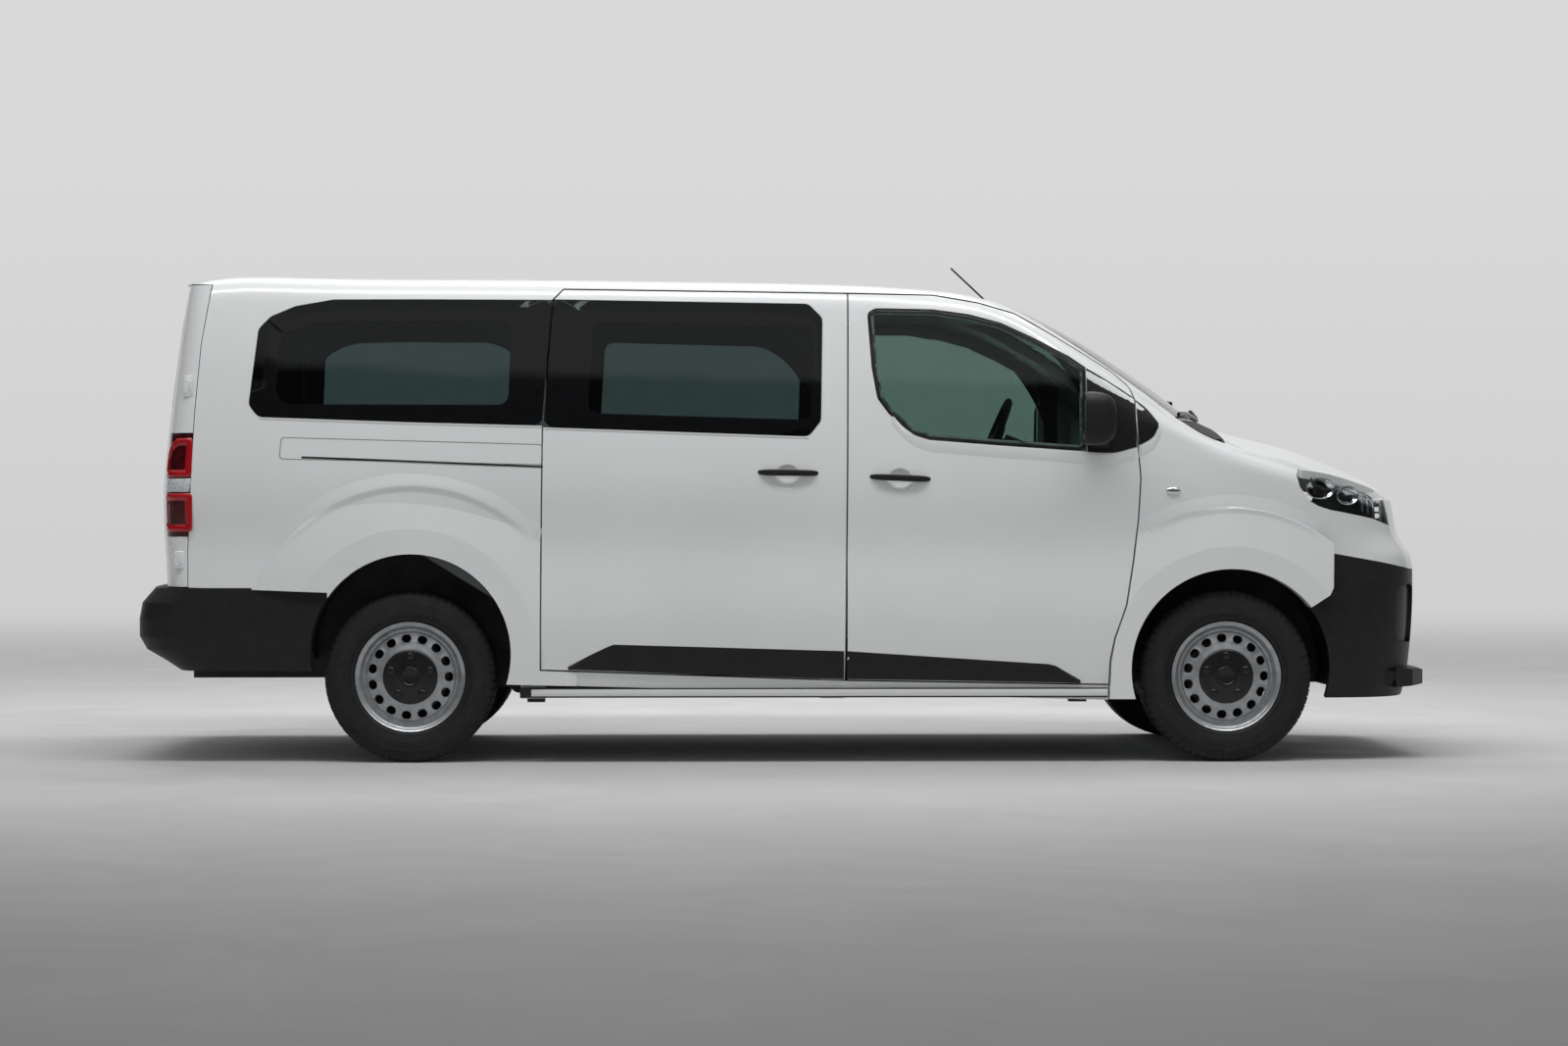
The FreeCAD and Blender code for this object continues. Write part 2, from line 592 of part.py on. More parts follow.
def bumper_line(x, z, inset):
    """Edges of the rear bumper's plan at height z, from side to side round the rearmost point x."""
    y = side_y(REAR_AXLE - 798.5, z) - inset
    back = x + inset
    start, turn = V(REAR_AXLE - 324.5, -y - 16.0, z), V(back + 215.0, -y, z)
    bend, end = V(back + 112.0, -y + 42.0, z), V(back + 58.0, -y + 150.0, z)
    middle = V(back, 0, z)
    start_2, turn_2, bend_2, end_2 = [V(p.x, -p.y, z) for p in (start, turn, bend, end)]
    return [Part.makeLine(start, turn), Part.Arc(turn, bend, end).toShape(),
            Part.Arc(end, middle, end_2).toShape(), Part.Arc(end_2, bend_2, turn_2).toShape(),
            Part.makeLine(turn_2, start_2)]


def bumper_wire(x, z):
    """Closed plan outline of the rear bumper, a bent strip BUMPER_WALL thick."""
    outer, inner = bumper_line(x, z, 0.0), bumper_line(x, z, BUMPER_WALL)
    first, last = (Part.makeLine(outer[i].Vertexes[i].Point, inner[i].Vertexes[i].Point) for i in (0, -1))
    return Part.Wire(Part.__sortEdges__(outer + [last] + inner + [first]))


def build_tail(parts):
    skin = tail_slab(0.0, PANEL)
    axis_x, axis_y = REAR_AXLE - 882.5, -(HALF - 12.0)
    turns = [math.pi * i / 8.0 for i in range(16)]
    plan = [(axis_x + 122.5 * math.cos(a), axis_y + 122.5 * math.sin(a)) for a in turns]
    lamp_zone = upright(plan, 910, 1313)
    lamp = skin.common(lamp_zone).cut(across(SIDE_PANEL, -1100, -500, SEAM / 4.0))
    parts["tail_lamp_right"] = main_piece(lamp)
    parts["tail_lamp_left"] = left(parts["tail_lamp_right"])
    door = skin.common(across(REAR_DOORS, -1100, -SEAM / 2.0, -SEAM / 2.0))
    door = door.cut(Part.makeCylinder(131.0, 415.0, V(axis_x, axis_y, 904)))
    door = main_piece(door)
    glass = [(-95, 1800), (-690, 1790), (-760, 1430), (-95, 1410)]
    inner = [(-125, 1770), (-665, 1760), (-730, 1460), (-125, 1440)]
    door = door.cut(along(inner, REAR_END, REAR_AXLE - 798.5))
    step = along(glass, REAR_END, REAR_AXLE - 798.5)
    door = door.cut(tail_slab(-4.0, GLASS).common(step))
    small = [(y * 0.995 - 1, z - math.copysign(2.0, z - 1600.0)) for y, z in glass]
    parts["rear_door_right"] = main_piece(door)
    pane = tail_slab(0.0, GLASS).common(along(small, REAR_END, REAR_AXLE - 798.5))
    parts["rear_door_glass_right"] = main_piece(pane)
    for name in ("rear_door", "rear_door_glass"):
        parts[name + "_left"] = left(parts[name + "_right"])
    bumper = Part.makeLoft([bumper_wire(x, z) for z, x in REAR_BUMPER_LINE], True, True)
    half = behind([(-870, -870), (-918, -870), (-994, -800), (-1044, -600), (-1070, -300)])
    shelf = upright(half + [(x, -y) for x, y in reversed(half)], 684, 698)
    bumper = bumper.fuse(shelf)
    bumper = bumper.cut(rear_arch()).cut(left(rear_arch()))
    bumper = bumper.cut(parts["side_panel_right"]).cut(parts["side_panel_left"])
    parts["rear_bumper"] = main_piece(bumper)


def housing(x, z, r, inner, outer, low):
    """Inner arch over one wheel: a curved sheet closed by a wall on its inner side."""
    shell = disc(x, z, r + HOUSING_SHEET, -outer, -inner)
    shell = shell.cut(disc(x, z, r, -outer - 1.0, -inner - HOUSING_SHEET))
    return shell.cut(box(x - 600.0, x + 600.0, -outer - 1.0, -inner + 1.0, -200.0, low))


def fuel_tank():
    """Moulded tank slung under the floor ahead of the rear axle, on the right."""
    tank = box(REAR_AXLE + 381.5, REAR_AXLE + 1201.5, -540, -90, 262, FLOOR_TOP - FLOOR_SHEET)
    return tank.makeFillet(36.0, lateral_edges(tank))


def exhaust():
    """Front pipe, silencer and tail pipe on hangers under the floor, on the left."""
    top = FLOOR_TOP - FLOOR_SHEET
    pipe = Part.makeCylinder(27.0, 2300.0, V(FRONT_AXLE - 623.5, 250, 345), V(-1, 0, 0))
    drum = Part.makeCylinder(82.0, 560.0, V(REAR_AXLE + 981.5, 250, 322), V(-1, 0, 0))
    tail = Part.makeCylinder(24.0, 130.0, V(REAR_AXLE + 431.5, 250, 322), V(-1, 0, 0))
    run = pipe.fuse(drum).fuse(tail)
    for x in (FRONT_AXLE - 773.5, FRONT_AXLE - 1573.5, REAR_AXLE + 1021.5):
        run = run.fuse(box(x - 10.0, x + 10.0, 244, 256, 345, top))
    return run.fuse(box(REAR_AXLE + 691.5, REAR_AXLE + 711.5, 240, 260, 390, top))


def build_under(parts):
    floor = box(REAR_AXLE - 898.5, FRONT_AXLE - 333.5, -840, 840, FLOOR_TOP - FLOOR_SHEET, FLOOR_TOP)
    for s in (-1.0, 1.0):
        y0, y1 = sorted((s * 640.0, s * 560.0))
        floor = floor.fuse(box(REAR_AXLE - 898.5, FRONT_AXLE - 333.5, y0, y1, 330, FLOOR_TOP - FLOOR_SHEET))
        y0, y1 = sorted((s * 950.0, s * 780.0))
        floor = floor.fuse(box(REAR_AXLE + 441.5, FRONT_AXLE - 483.5, y0, y1, 262, 300))
        y0, y1 = sorted((s * 872.0, s * 780.0))
        floor = floor.fuse(box(REAR_AXLE + 441.5, FRONT_AXLE - 483.5, y0, y1, 300, FLOOR_TOP))
    front = TYRE_DIAMETER / 2.0 + STEER_ROOM
    for s in (-1.0, 1.0):
        y0, y1 = sorted((s * 1000.0, s * 640.0))
        floor = floor.cut(disc(REAR_AXLE + 6.0, WHEEL_Z + 92.0, REAR_ARCH_RADIUS, y0, y1))
        y0, y1 = sorted((s * 1000.0, s * 484.0))
        floor = floor.cut(disc(FRONT_AXLE + 16.0, WHEEL_Z + 27.0, front + HOUSING_SHEET, y0, y1))
    for x in (FRONT_AXLE - 593.5, REAR_AXLE + 501.5):
        for s in (-1.0, 1.0):
            floor = floor.fuse(box(x - 35.0, x + 35.0, s * 830.0 - 30.0, s * 830.0 + 30.0, 240, 262))
    for x in (REAR_AXLE - 848.5, REAR_AXLE - 748.5):
        for s in (-1.0, 1.0):
            floor = floor.cut(Part.makeCylinder(TOWBAR_BOLT_RADIUS, 60.0, V(x, s * TOWBAR_BOLT_Y, 320)))
    floor = floor.cut(box(REAR_AXLE - 110.0, REAR_AXLE + 110.0, -660, 660, 300, 396))
    shell = housing(REAR_AXLE + 6.0, WHEEL_Z + 92.0, REAR_ARCH_RADIUS + 2.0, 642.0, 880.0, FLOOR_TOP - 6.0)
    floor = floor.fuse(shell).fuse(left(shell)).fuse(fuel_tank()).fuse(exhaust())
    for name in ("side_panel_right", "side_panel_left", "door_posts", "front_wing_right", "front_wing_left",
                 "rear_bumper"):
        floor = floor.cut(parts[name])
    parts["floor_pan"] = main_piece(floor)
    bulkhead = box(FRONT_AXLE - 333.5, FRONT_AXLE - 311.5, -868, 868, 410, 1330)
    for name in ("door_posts", "cowl", "front_wing_right", "front_wing_left"):
        bulkhead = bulkhead.cut(parts[name])
    liner = housing(FRONT_AXLE + 16.0, WHEEL_Z + 27.0, front, 485.0, 822.0, 300.0)
    hollow = disc(FRONT_AXLE + 16.0, WHEEL_Z + 27.0, front, -1000, -490)
    bulkhead = bulkhead.cut(hollow).cut(left(hollow)).fuse(liner).fuse(left(liner))
    for name in ("door_posts", "floor_pan", "front_wing_right", "front_wing_left", "front_bumper"):
        bulkhead = bulkhead.cut(parts[name])
    parts["bulkhead"] = main_piece(bulkhead)
    rail = box(FRONT_AXLE - 393.5, FRONT_AXLE + 726.5, 400, 470, 480, 560)
    frame = rail.fuse(left(rail)).fuse(box(FRONT_AXLE + 646.5, FRONT_AXLE + 782.5, -470, 470, 470, 570))
    frame = frame.fuse(box(FRONT_AXLE - 173.5, FRONT_AXLE - 73.5, -470, 470, 400, 480))
    frame = frame.fuse(box(FRONT_AXLE - 393.5, FRONT_AXLE - 334.5, -470, 470, FLOOR_TOP, 560))
    frame = frame.cut(parts["front_bumper"]).cut(parts["bulkhead"]).cut(parts["floor_pan"])
    inside = [s for s in frame.Solids]
    parts["front_subframe"] = max(inside, key=lambda s: s.Volume)
    engine = box(FRONT_AXLE - 53.5, FRONT_AXLE + 526.5, -340, 330, 560, 1000)
    parts["engine_block"] = engine.cut(parts["front_subframe"])
    axle = disc(REAR_AXLE, WHEEL_Z, 38.0, -680, 680)
    for s in (-1.0, 1.0):
        y0, y1 = sorted((s * 640.0, s * 560.0))
        axle = axle.fuse(box(REAR_AXLE - 58.5, FRONT_AXLE - 2473.5, y0, y1, 290, 330))
        y0, y1 = sorted((s * 680.0, s * 640.0))
        axle = axle.fuse(disc(REAR_AXLE, WHEEL_Z, 84.0, y0, y1))
        y0, y1 = sorted((s * 770.0, s * 680.0))
        axle = axle.fuse(disc(REAR_AXLE, WHEEL_Z, 30.0, y0, y1))
    parts["rear_axle"] = main_piece(axle)


def build_wheels(parts):
    tyre, rim, cap = wheel()
    for name, x, track in (("front", FRONT_AXLE, FRONT_TRACK), ("rear", REAR_AXLE, REAR_TRACK)):
        for piece, shape in (("tyre", tyre), ("rim", rim), ("hub_cap", cap)):
            right = placed(shape, x, -track / 2.0, WHEEL_Z)
            parts[name + "_" + piece + "_right"] = right
            parts[name + "_" + piece + "_left"] = left(right)
    knuckle = disc(FRONT_AXLE, WHEEL_Z, 95.0, -KINGPIN_Y + 10, -KINGPIN_Y + 50)
    knuckle = knuckle.fuse(disc(FRONT_AXLE, WHEEL_Z, 30.0, -KINGPIN_Y - 50, -KINGPIN_Y + 10))
    knuckle = knuckle.fuse(Part.makeCylinder(16.0, 230.0, V(FRONT_AXLE, -KINGPIN_Y, WHEEL_Z - 115.0)))
    strut = box(FRONT_AXLE - 25.0, FRONT_AXLE + 25.0, -KINGPIN_Y + 50, -KINGPIN_Y + 85, 215, 620)
    knuckle = knuckle.fuse(strut)
    parts["knuckle_right"] = knuckle
    parts["knuckle_left"] = left(knuckle)


def build_cabin(parts):
    section = ahead([(-334, 900), (-334, 1222), (-444, 1246), (-584, 1232), (-646, 1180), (-664, 1090),
                     (-624, 980), (-564, 900)])
    dash = across(section, -840, 840)
    dash = main_piece(dash.cut(parts["door_posts"]))
    parts["driver_seat"] = seat(FRONT_AXLE - 1443.5, 250.0, 640.0)
    parts["passenger_bench"] = seat(FRONT_AXLE - 1443.5, -740.0, 110.0)
    parts["second_row_seats"] = seat(FRONT_AXLE - 2333.5, -600.0, 600.0)
    parts["third_row_seats"] = seat(REAR_AXLE - 198.5, -560.0, 560.0)
    tilt = math.radians(STEERING_TILT_DEGREES)
    lean = V(-math.cos(tilt), 0, math.sin(tilt))
    centre = V(FRONT_AXLE - 828.5, 400.0, 1325.0)
    rim_r = STEERING_WHEEL_DIAMETER / 2.0 - 15.0
    grip = [V(rim_r + 15.0 * math.cos(a), 0, 15.0 * math.sin(a)) for a in spread(0.0, 2.0 * math.pi, 10)]
    ring = Part.Face(Part.makePolygon(grip)).revolve(V(0, 0, 0), V(0, 0, 1), 360)
    ring.rotate(V(0, 0, 0), V(0, 1, 0), STEERING_TILT_DEGREES - 90.0)
    ring.translate(centre)
    hub = Part.makeCylinder(62.0, 34.0, centre - lean * 30.0, lean)
    spokes = Part.makeBox(40.0, STEERING_WHEEL_DIAMETER - 30.0, 16.0,
                          V(-20, -(STEERING_WHEEL_DIAMETER - 30.0) / 2.0, -8))
    spokes.rotate(V(0, 0, 0), V(0, 1, 0), STEERING_TILT_DEGREES - 90.0)
    spokes.translate(centre)
    shaft = Part.makeCylinder(16.0, 110.0, centre - lean * 140.0, lean)
    parts["steering_wheel"] = ring.fuse(hub).fuse(spokes).fuse(shaft)
    tube = Part.makeCylinder(40.0, 300.0, centre - lean * 345.0, lean)
    parts["dashboard"] = dash
    bore = Part.makeCylinder(22.0, 110.0, centre - lean * 147.0, lean)
    parts["steering_column"] = main_piece(tube.cut(bore).cut(dash))


def seat(x, y0, y1):
    """Plain seat or bench: plinth, cushion and leaning back."""
    base = box(x - 200.0, x + 230.0, y0 + 40.0, y1 - 40.0, FLOOR_TOP, FLOOR_TOP + 270.0)
    cushion = box(x - 250.0, x + 250.0, y0, y1, FLOOR_TOP + 250.0, FLOOR_TOP + 390.0)
    cushion = cushion.makeFillet(40.0, lateral_edges(cushion))
    back = box(x - 340.0, x - 220.0, y0, y1, FLOOR_TOP + 290.0, FLOOR_TOP + 960.0)
    back = back.makeFillet(40.0, lateral_edges(back))
    back.rotate(V(x - 280.0, 0, FLOOR_TOP + 300.0), V(0, 1, 0), -12.0)
    return main_piece(base.fuse(cushion).fuse(back))


def build_antenna(parts):
    foot = V(FRONT_AXLE - 885.5, 0, 1868)
    base = Part.makeCone(26.0, 14.0, 34.0, foot, V(0, 0, 1)).cut(parts["roof_panel"])
    lean = V(-160, 0, 150)
    mast = Part.makeCylinder(4.0, lean.Length, foot + V(0, 0, 26), lean)
    parts["antenna"] = main_piece(base.fuse(mast).cut(parts["roof_panel"]).cut(parts["windscreen_frame"]))


def main():
    parts = {}
    steps = (build_sides, build_front_doors, build_top, build_nose, build_tail, build_under, build_wheels,
             build_cabin, build_antenna)
    for step in steps:
        step(parts)
    os.makedirs("parts", exist_ok=True)
    for name, shape in parts.items():
        shape.exportStep("parts/" + name + ".step")
        print(name, shape.isValid(), len(shape.Solids), round(shape.Volume / 1e6, 2))


main()
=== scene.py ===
# %% [markdown]
# # A white long-wheelbase minibus in a pale studio
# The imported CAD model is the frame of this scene. It already has every panel, door, wheel and pane at its
# real place, so this lesson dresses it: finishes for the CAD pieces, and trim, lamps, seats and tread as
# modelled meshes. Everything is in metres, +X forward, +Y left and +Z up, with the ground at z = 0.

import math

import bmesh
import bpy
from mathutils import Matrix, Vector
from mathutils.bvhtree import BVHTree


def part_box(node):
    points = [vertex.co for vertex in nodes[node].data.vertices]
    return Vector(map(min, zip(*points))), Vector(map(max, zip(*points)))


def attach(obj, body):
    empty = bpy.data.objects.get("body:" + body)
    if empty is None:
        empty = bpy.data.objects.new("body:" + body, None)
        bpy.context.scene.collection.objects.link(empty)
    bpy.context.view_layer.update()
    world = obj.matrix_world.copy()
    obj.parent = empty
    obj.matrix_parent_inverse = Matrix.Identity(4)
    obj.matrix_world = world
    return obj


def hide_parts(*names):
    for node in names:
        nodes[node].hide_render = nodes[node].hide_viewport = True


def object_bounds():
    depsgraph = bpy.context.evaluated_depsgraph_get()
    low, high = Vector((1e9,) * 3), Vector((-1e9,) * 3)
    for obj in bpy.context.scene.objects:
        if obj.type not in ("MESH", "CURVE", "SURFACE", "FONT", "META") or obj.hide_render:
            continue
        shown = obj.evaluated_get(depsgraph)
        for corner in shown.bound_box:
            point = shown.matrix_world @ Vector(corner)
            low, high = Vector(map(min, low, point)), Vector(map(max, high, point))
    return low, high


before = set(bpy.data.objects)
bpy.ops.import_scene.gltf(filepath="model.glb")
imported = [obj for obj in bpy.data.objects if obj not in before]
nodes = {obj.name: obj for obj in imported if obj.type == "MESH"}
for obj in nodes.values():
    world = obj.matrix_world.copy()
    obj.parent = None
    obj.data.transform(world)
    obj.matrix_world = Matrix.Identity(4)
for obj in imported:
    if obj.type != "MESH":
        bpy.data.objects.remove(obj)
cad_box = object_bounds()

# %% [markdown]
# ## Places read from the frame
# A few places are used again and again: the two axles and the tyre radius, which set the wheel centres.
# They come from the boxes of the CAD nodes, so the trim follows the model if the model changes.

# %% Driving places
RIGHT = -1
LEFT = 1
SIDES = {"right": RIGHT, "left": LEFT}


def centre(node):
    """The middle of a CAD node's box."""
    low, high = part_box(node)
    return (low + high) / 2


FRONT_AXLE = centre("front_tyre_right").x
REAR_AXLE = centre("rear_tyre_right").x
TYRE_LOW, TYRE_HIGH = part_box("front_tyre_right")
TYRE_RADIUS = (TYRE_HIGH.z - TYRE_LOW.z) / 2
AXLES = (("front", FRONT_AXLE, 1.627), ("rear", REAR_AXLE, 1.600))
print(f"axles at x = {FRONT_AXLE:.3f} and {REAR_AXLE:.3f}, tyre radius {TYRE_RADIUS:.3f}")

# %% [markdown]
# ## The camera
# The photograph is a level side view from about fifteen metres with a long lens. The camera was placed by
# matching the wheel centres and the ends of the bumpers, so the render can be laid over the photograph.

# %% Camera
CAMERA_PLACE = Vector((-0.3409, -15.017, 0.9929))
CAMERA_YAW = 0.02378
CAMERA_PITCH = 0.00239
LENS_MM = 80.86

camera_data = bpy.data.cameras.new("camera")
camera_data.lens = LENS_MM
camera_data.sensor_width = 36.0
camera = bpy.data.objects.new("camera", camera_data)
camera.location = CAMERA_PLACE
camera.rotation_euler = (math.pi / 2 - CAMERA_PITCH, 0.0, -CAMERA_YAW)
bpy.context.scene.collection.objects.link(camera)
bpy.context.scene.camera = camera
bpy.context.scene.view_settings.view_transform = "Standard"
print("camera at", tuple(round(value, 2) for value in CAMERA_PLACE))

# %% [markdown]
# ## Colours and nodes
# Colours are written as sRGB hex codes, as a painter or a web page would give them, and one function turns
# them to the linear values that a shader wants. Another small function adds a node with its settings and
# links, and that is all the help that the materials below need.


# %% Colour and node helpers
def colour(code):
    """Linear RGBA of an sRGB hex code such as "D8DADB"."""
    values = [int(code[at:at + 2], 16) / 255 for at in (0, 2, 4)]
    linear = [v / 12.92 if v <= 0.04045 else ((v + 0.055) / 1.055) ** 2.4 for v in values]
    return (*linear, 1.0)


def add(tree, kind, sockets=None, **settings):
    """A new node; sockets maps an input's name or number to a value or to the output that feeds it."""
    made = tree.nodes.new(kind)
    for name, value in settings.items():
        setattr(made, name, value)
    for key, value in (sockets or {}).items():
        if isinstance(value, bpy.types.NodeSocket):
            tree.links.new(value, made.inputs[key])
        else:
            made.inputs[key].default_value = value
    return made


def finish_of(name, base, **sockets):
    """A material with one Principled shader; returns material, tree and shader."""
    made = bpy.data.materials.new(name)
    made.use_nodes = True
    made.diffuse_color = colour(base)
    tree = made.node_tree
    shader = tree.nodes["Principled BSDF"]
    shader.inputs["Base Color"].default_value = colour(base)
    for key, value in sockets.items():
        shader.inputs[key.replace("_", " ")].default_value = value
    return made, tree, shader


def spread_colour(tree, shader, dark, light, size, detail=4.0, low=0.35, high=0.65):
    """Drifts the base colour between two hex colours in patches of the given size in metres."""
    place = add(tree, "ShaderNodeTexCoord").outputs["Object"]
    noise = add(tree, "ShaderNodeTexNoise", {"Vector": place, "Scale": 1 / size, "Detail": detail})
    ramp = add(tree, "ShaderNodeValToRGB", {"Fac": noise.outputs["Fac"]})
    ramp.color_ramp.elements[0].position = low
    ramp.color_ramp.elements[1].position = high
    ramp.color_ramp.elements[0].color = colour(dark)
    ramp.color_ramp.elements[1].color = colour(light)
    tree.links.new(ramp.outputs["Color"], shader.inputs["Base Color"])
    return ramp


def grain(tree, shader, size, depth, detail=2.0, roughness=None):
    """Bump of the given grain size and depth in metres, and a roughness that wanders with it."""
    place = add(tree, "ShaderNodeTexCoord").outputs["Object"]
    noise = add(tree, "ShaderNodeTexNoise", {"Vector": place, "Scale": 1 / size, "Detail": detail})
    bump = add(tree, "ShaderNodeBump", {"Height": noise.outputs["Fac"], "Distance": depth, "Strength": 1.0})
    tree.links.new(bump.outputs["Normal"], shader.inputs["Normal"])
    if roughness:
        reach = add(tree, "ShaderNodeMapRange", {"Value": noise.outputs["Fac"], "From Min": 0.3,
                                                 "From Max": 0.7, "To Min": roughness[0],
                                                 "To Max": roughness[1]})
        tree.links.new(reach.outputs["Result"], shader.inputs["Roughness"])
    return bump


# The scale at which a wave texture repeats once a metre
WAVE_BAND = 2 * math.pi / 20
print("helpers ready")

# %% [markdown]
# ## Body paint
# Vans leave the works in plain white enamel under a clear coat. Seen close it has a faint orange peel, and
# from a step away only slow changes of tone, so the bump is shallow and the colour drifts very little.


# %% White enamel
def make_white_enamel():
    made, tree, shader = finish_of("white_enamel", "D3D5D6", Roughness=0.34, Coat_Weight=0.55,
                                   Coat_Roughness=0.06, IOR=1.5)
    spread_colour(tree, shader, "D1D3D4", "D6D8D9", 0.9)
    grain(tree, shader, 0.004, 0.00003)
    return made


WHITE_ENAMEL = make_white_enamel()
print("made", WHITE_ENAMEL.name)

# %% [markdown]
# ## Black plastics
# The bumpers, cladding, mirrors and handles are moulded in unpainted polypropylene. The mould is etched, so
# the surface has a fine leather-like grain that scatters light, and it greys a little where it is handled.


# %% Grained and satin plastics
def make_grained_plastic():
    made, tree, shader = finish_of("grained_polypropylene", "131415", Roughness=0.5, IOR=1.42)
    spread_colour(tree, shader, "111213", "17181A", 0.05)
    grain(tree, shader, 0.0022, 0.00022, 3.0, (0.42, 0.58))
    return made


def make_satin_plastic():
    made, tree, shader = finish_of("satin_black_plastic", "121314", Roughness=0.28, IOR=1.49)
    spread_colour(tree, shader, "101112", "161718", 0.08)
    grain(tree, shader, 0.0012, 0.00004, 2.0, (0.24, 0.34))
    return made


GRAINED_PLASTIC = make_grained_plastic()
SATIN_PLASTIC = make_satin_plastic()
print("made", GRAINED_PLASTIC.name, "and", SATIN_PLASTIC.name)

# %% [markdown]
# ## Glass
# The side glass behind the front doors is privacy glass, tinted through its thickness, and the front glass
# has only the usual green tint. Each pane is a real 6 mm solid, so a transmission shader does the rest. The
# frit is the black ceramic that is baked on around each pane to hide the glue.


# %% Glass and frit
def make_tinted_glass(name, tint):
    made, tree, shader = finish_of(name, tint, Roughness=0.0, IOR=1.45, Transmission_Weight=1.0)
    place = add(tree, "ShaderNodeTexCoord").outputs["Object"]
    waves = add(tree, "ShaderNodeTexNoise", {"Vector": place, "Scale": 2.2, "Detail": 1.0})
    bump = add(tree, "ShaderNodeBump", {"Height": waves.outputs["Fac"], "Distance": 0.004, "Strength": 0.35})
    tree.links.new(bump.outputs["Normal"], shader.inputs["Normal"])
    return made


def make_frit():
    made, tree, shader = finish_of("baked_black_frit", "0B0C0D", Roughness=0.04, IOR=1.5)
    spread_colour(tree, shader, "0A0B0C", "0E0F11", 0.02)
    return made


PRIVACY_GLASS = make_tinted_glass("privacy_glass", "7C8B8B")
CLEAR_GLASS = make_tinted_glass("green_tinted_glass", "9DB3AC")
FRIT = make_frit()
print("made", PRIVACY_GLASS.name, CLEAR_GLASS.name, FRIT.name)

# %% [markdown]
# ## Wheels and running gear
# The steel wheels are sprayed silver, which is a flat metallic paint rather than bare metal. Tyre rubber is
# dark grey and dull with dust in its grain. The axle and subframe are dipped in black and have some road
# film, and the engine block is cast aluminium.


# %% Wheel, rubber and chassis finishes
def make_silver_paint():
    made, tree, shader = finish_of("silver_wheel_paint", "A9ACAF", Roughness=0.36, Metallic=0.75,
                                   Coat_Weight=0.25, Coat_Roughness=0.2)
    spread_colour(tree, shader, "9FA2A5", "B2B5B8", 0.03)
    grain(tree, shader, 0.0015, 0.00004, 3.0, (0.3, 0.44))
    return made


def make_tyre_rubber():
    made, tree, shader = finish_of("tyre_rubber", "121213", Roughness=0.72, IOR=1.45)
    spread_colour(tree, shader, "0F0F10", "191919", 0.04, 6.0)
    grain(tree, shader, 0.003, 0.00018, 4.0, (0.55, 0.8))
    return made


def make_dipped_steel():
    made, tree, shader = finish_of("black_dipped_steel", "202122", Roughness=0.6, Metallic=0.2)
    spread_colour(tree, shader, "1A1B1C", "2F2D2A", 0.12, 6.0)
    grain(tree, shader, 0.006, 0.00025, 4.0, (0.5, 0.75))
    return made


def make_cast_aluminium():
    made, tree, shader = finish_of("cast_aluminium", "8C8E90", Roughness=0.55, Metallic=0.9)
    spread_colour(tree, shader, "7F8183", "98999B", 0.05, 5.0)
    grain(tree, shader, 0.0025, 0.0003, 4.0, (0.45, 0.65))
    return made


SILVER_PAINT = make_silver_paint()
TYRE_RUBBER = make_tyre_rubber()
DIPPED_STEEL = make_dipped_steel()
CAST_ALUMINIUM = make_cast_aluminium()
print("made", SILVER_PAINT.name, TYRE_RUBBER.name, DIPPED_STEEL.name, CAST_ALUMINIUM.name)

# %% [markdown]
# ## Lamps
# A headlamp is a clear polycarbonate lens over a dark moulding that holds bright aluminised bowls. A tail
# lamp is acrylic: deep red over its dark middle, brighter and pitted at its rims, and frosted clear over the
# reversing lamp between its two red halves.


# %% Lamp finishes
def make_lens():
    made, tree, shader = finish_of("clear_polycarbonate", "F2F6F8", Roughness=0.0, IOR=1.3,
                                   Transmission_Weight=1.0)
    spread_colour(tree, shader, "EEF3F5", "F8FBFC", 0.1)
    return made


def make_reflector():
    made, tree, shader = finish_of("aluminised_bowl", "E4E6E8", Roughness=0.12, Metallic=1.0)
    grain(tree, shader, 0.004, 0.0001, 1.0, (0.08, 0.2))
    return made


def make_red_acrylic():
    made, tree, shader = finish_of("red_acrylic", "A30A14", Roughness=0.08, IOR=1.49, Coat_Weight=0.5,
                                   Coat_Roughness=0.03)
    place = add(tree, "ShaderNodeTexCoord").outputs["Object"]
    cells = add(tree, "ShaderNodeTexVoronoi", {"Vector": place, "Scale": 260.0})
    ramp = add(tree, "ShaderNodeValToRGB", {"Fac": cells.outputs["Distance"]})
    ramp.color_ramp.elements[0].color = colour("B8101B")
    ramp.color_ramp.elements[1].color = colour("7C060E")
    tree.links.new(ramp.outputs["Color"], shader.inputs["Base Color"])
    bump = add(tree, "ShaderNodeBump", {"Height": cells.outputs["Distance"], "Distance": 0.0006,
                                        "Strength": 0.5})
    tree.links.new(bump.outputs["Normal"], shader.inputs["Normal"])
    return made


def make_deep_red():
    made, tree, shader = finish_of("deep_red_acrylic", "3A0308", Roughness=0.1, IOR=1.49, Coat_Weight=0.6,
                                   Coat_Roughness=0.03)
    spread_colour(tree, shader, "2C0206", "48050B", 0.03)
    return made


def make_frosted_clear():
    made, tree, shader = finish_of("frosted_clear_acrylic", "B9BDC1", Roughness=0.16, IOR=1.49,
                                   Coat_Weight=0.6, Coat_Roughness=0.04)
    spread_colour(tree, shader, "A4A9AE", "CDD1D4", 0.006)
    grain(tree, shader, 0.004, 0.0004, 1.0, (0.1, 0.24))
    return made


LENS = make_lens()
REFLECTOR = make_reflector()
RED_ACRYLIC = make_red_acrylic()
DEEP_RED = make_deep_red()
FROSTED_CLEAR = make_frosted_clear()
print("made", LENS.name, REFLECTOR.name, RED_ACRYLIC.name, DEEP_RED.name, FROSTED_CLEAR.name)
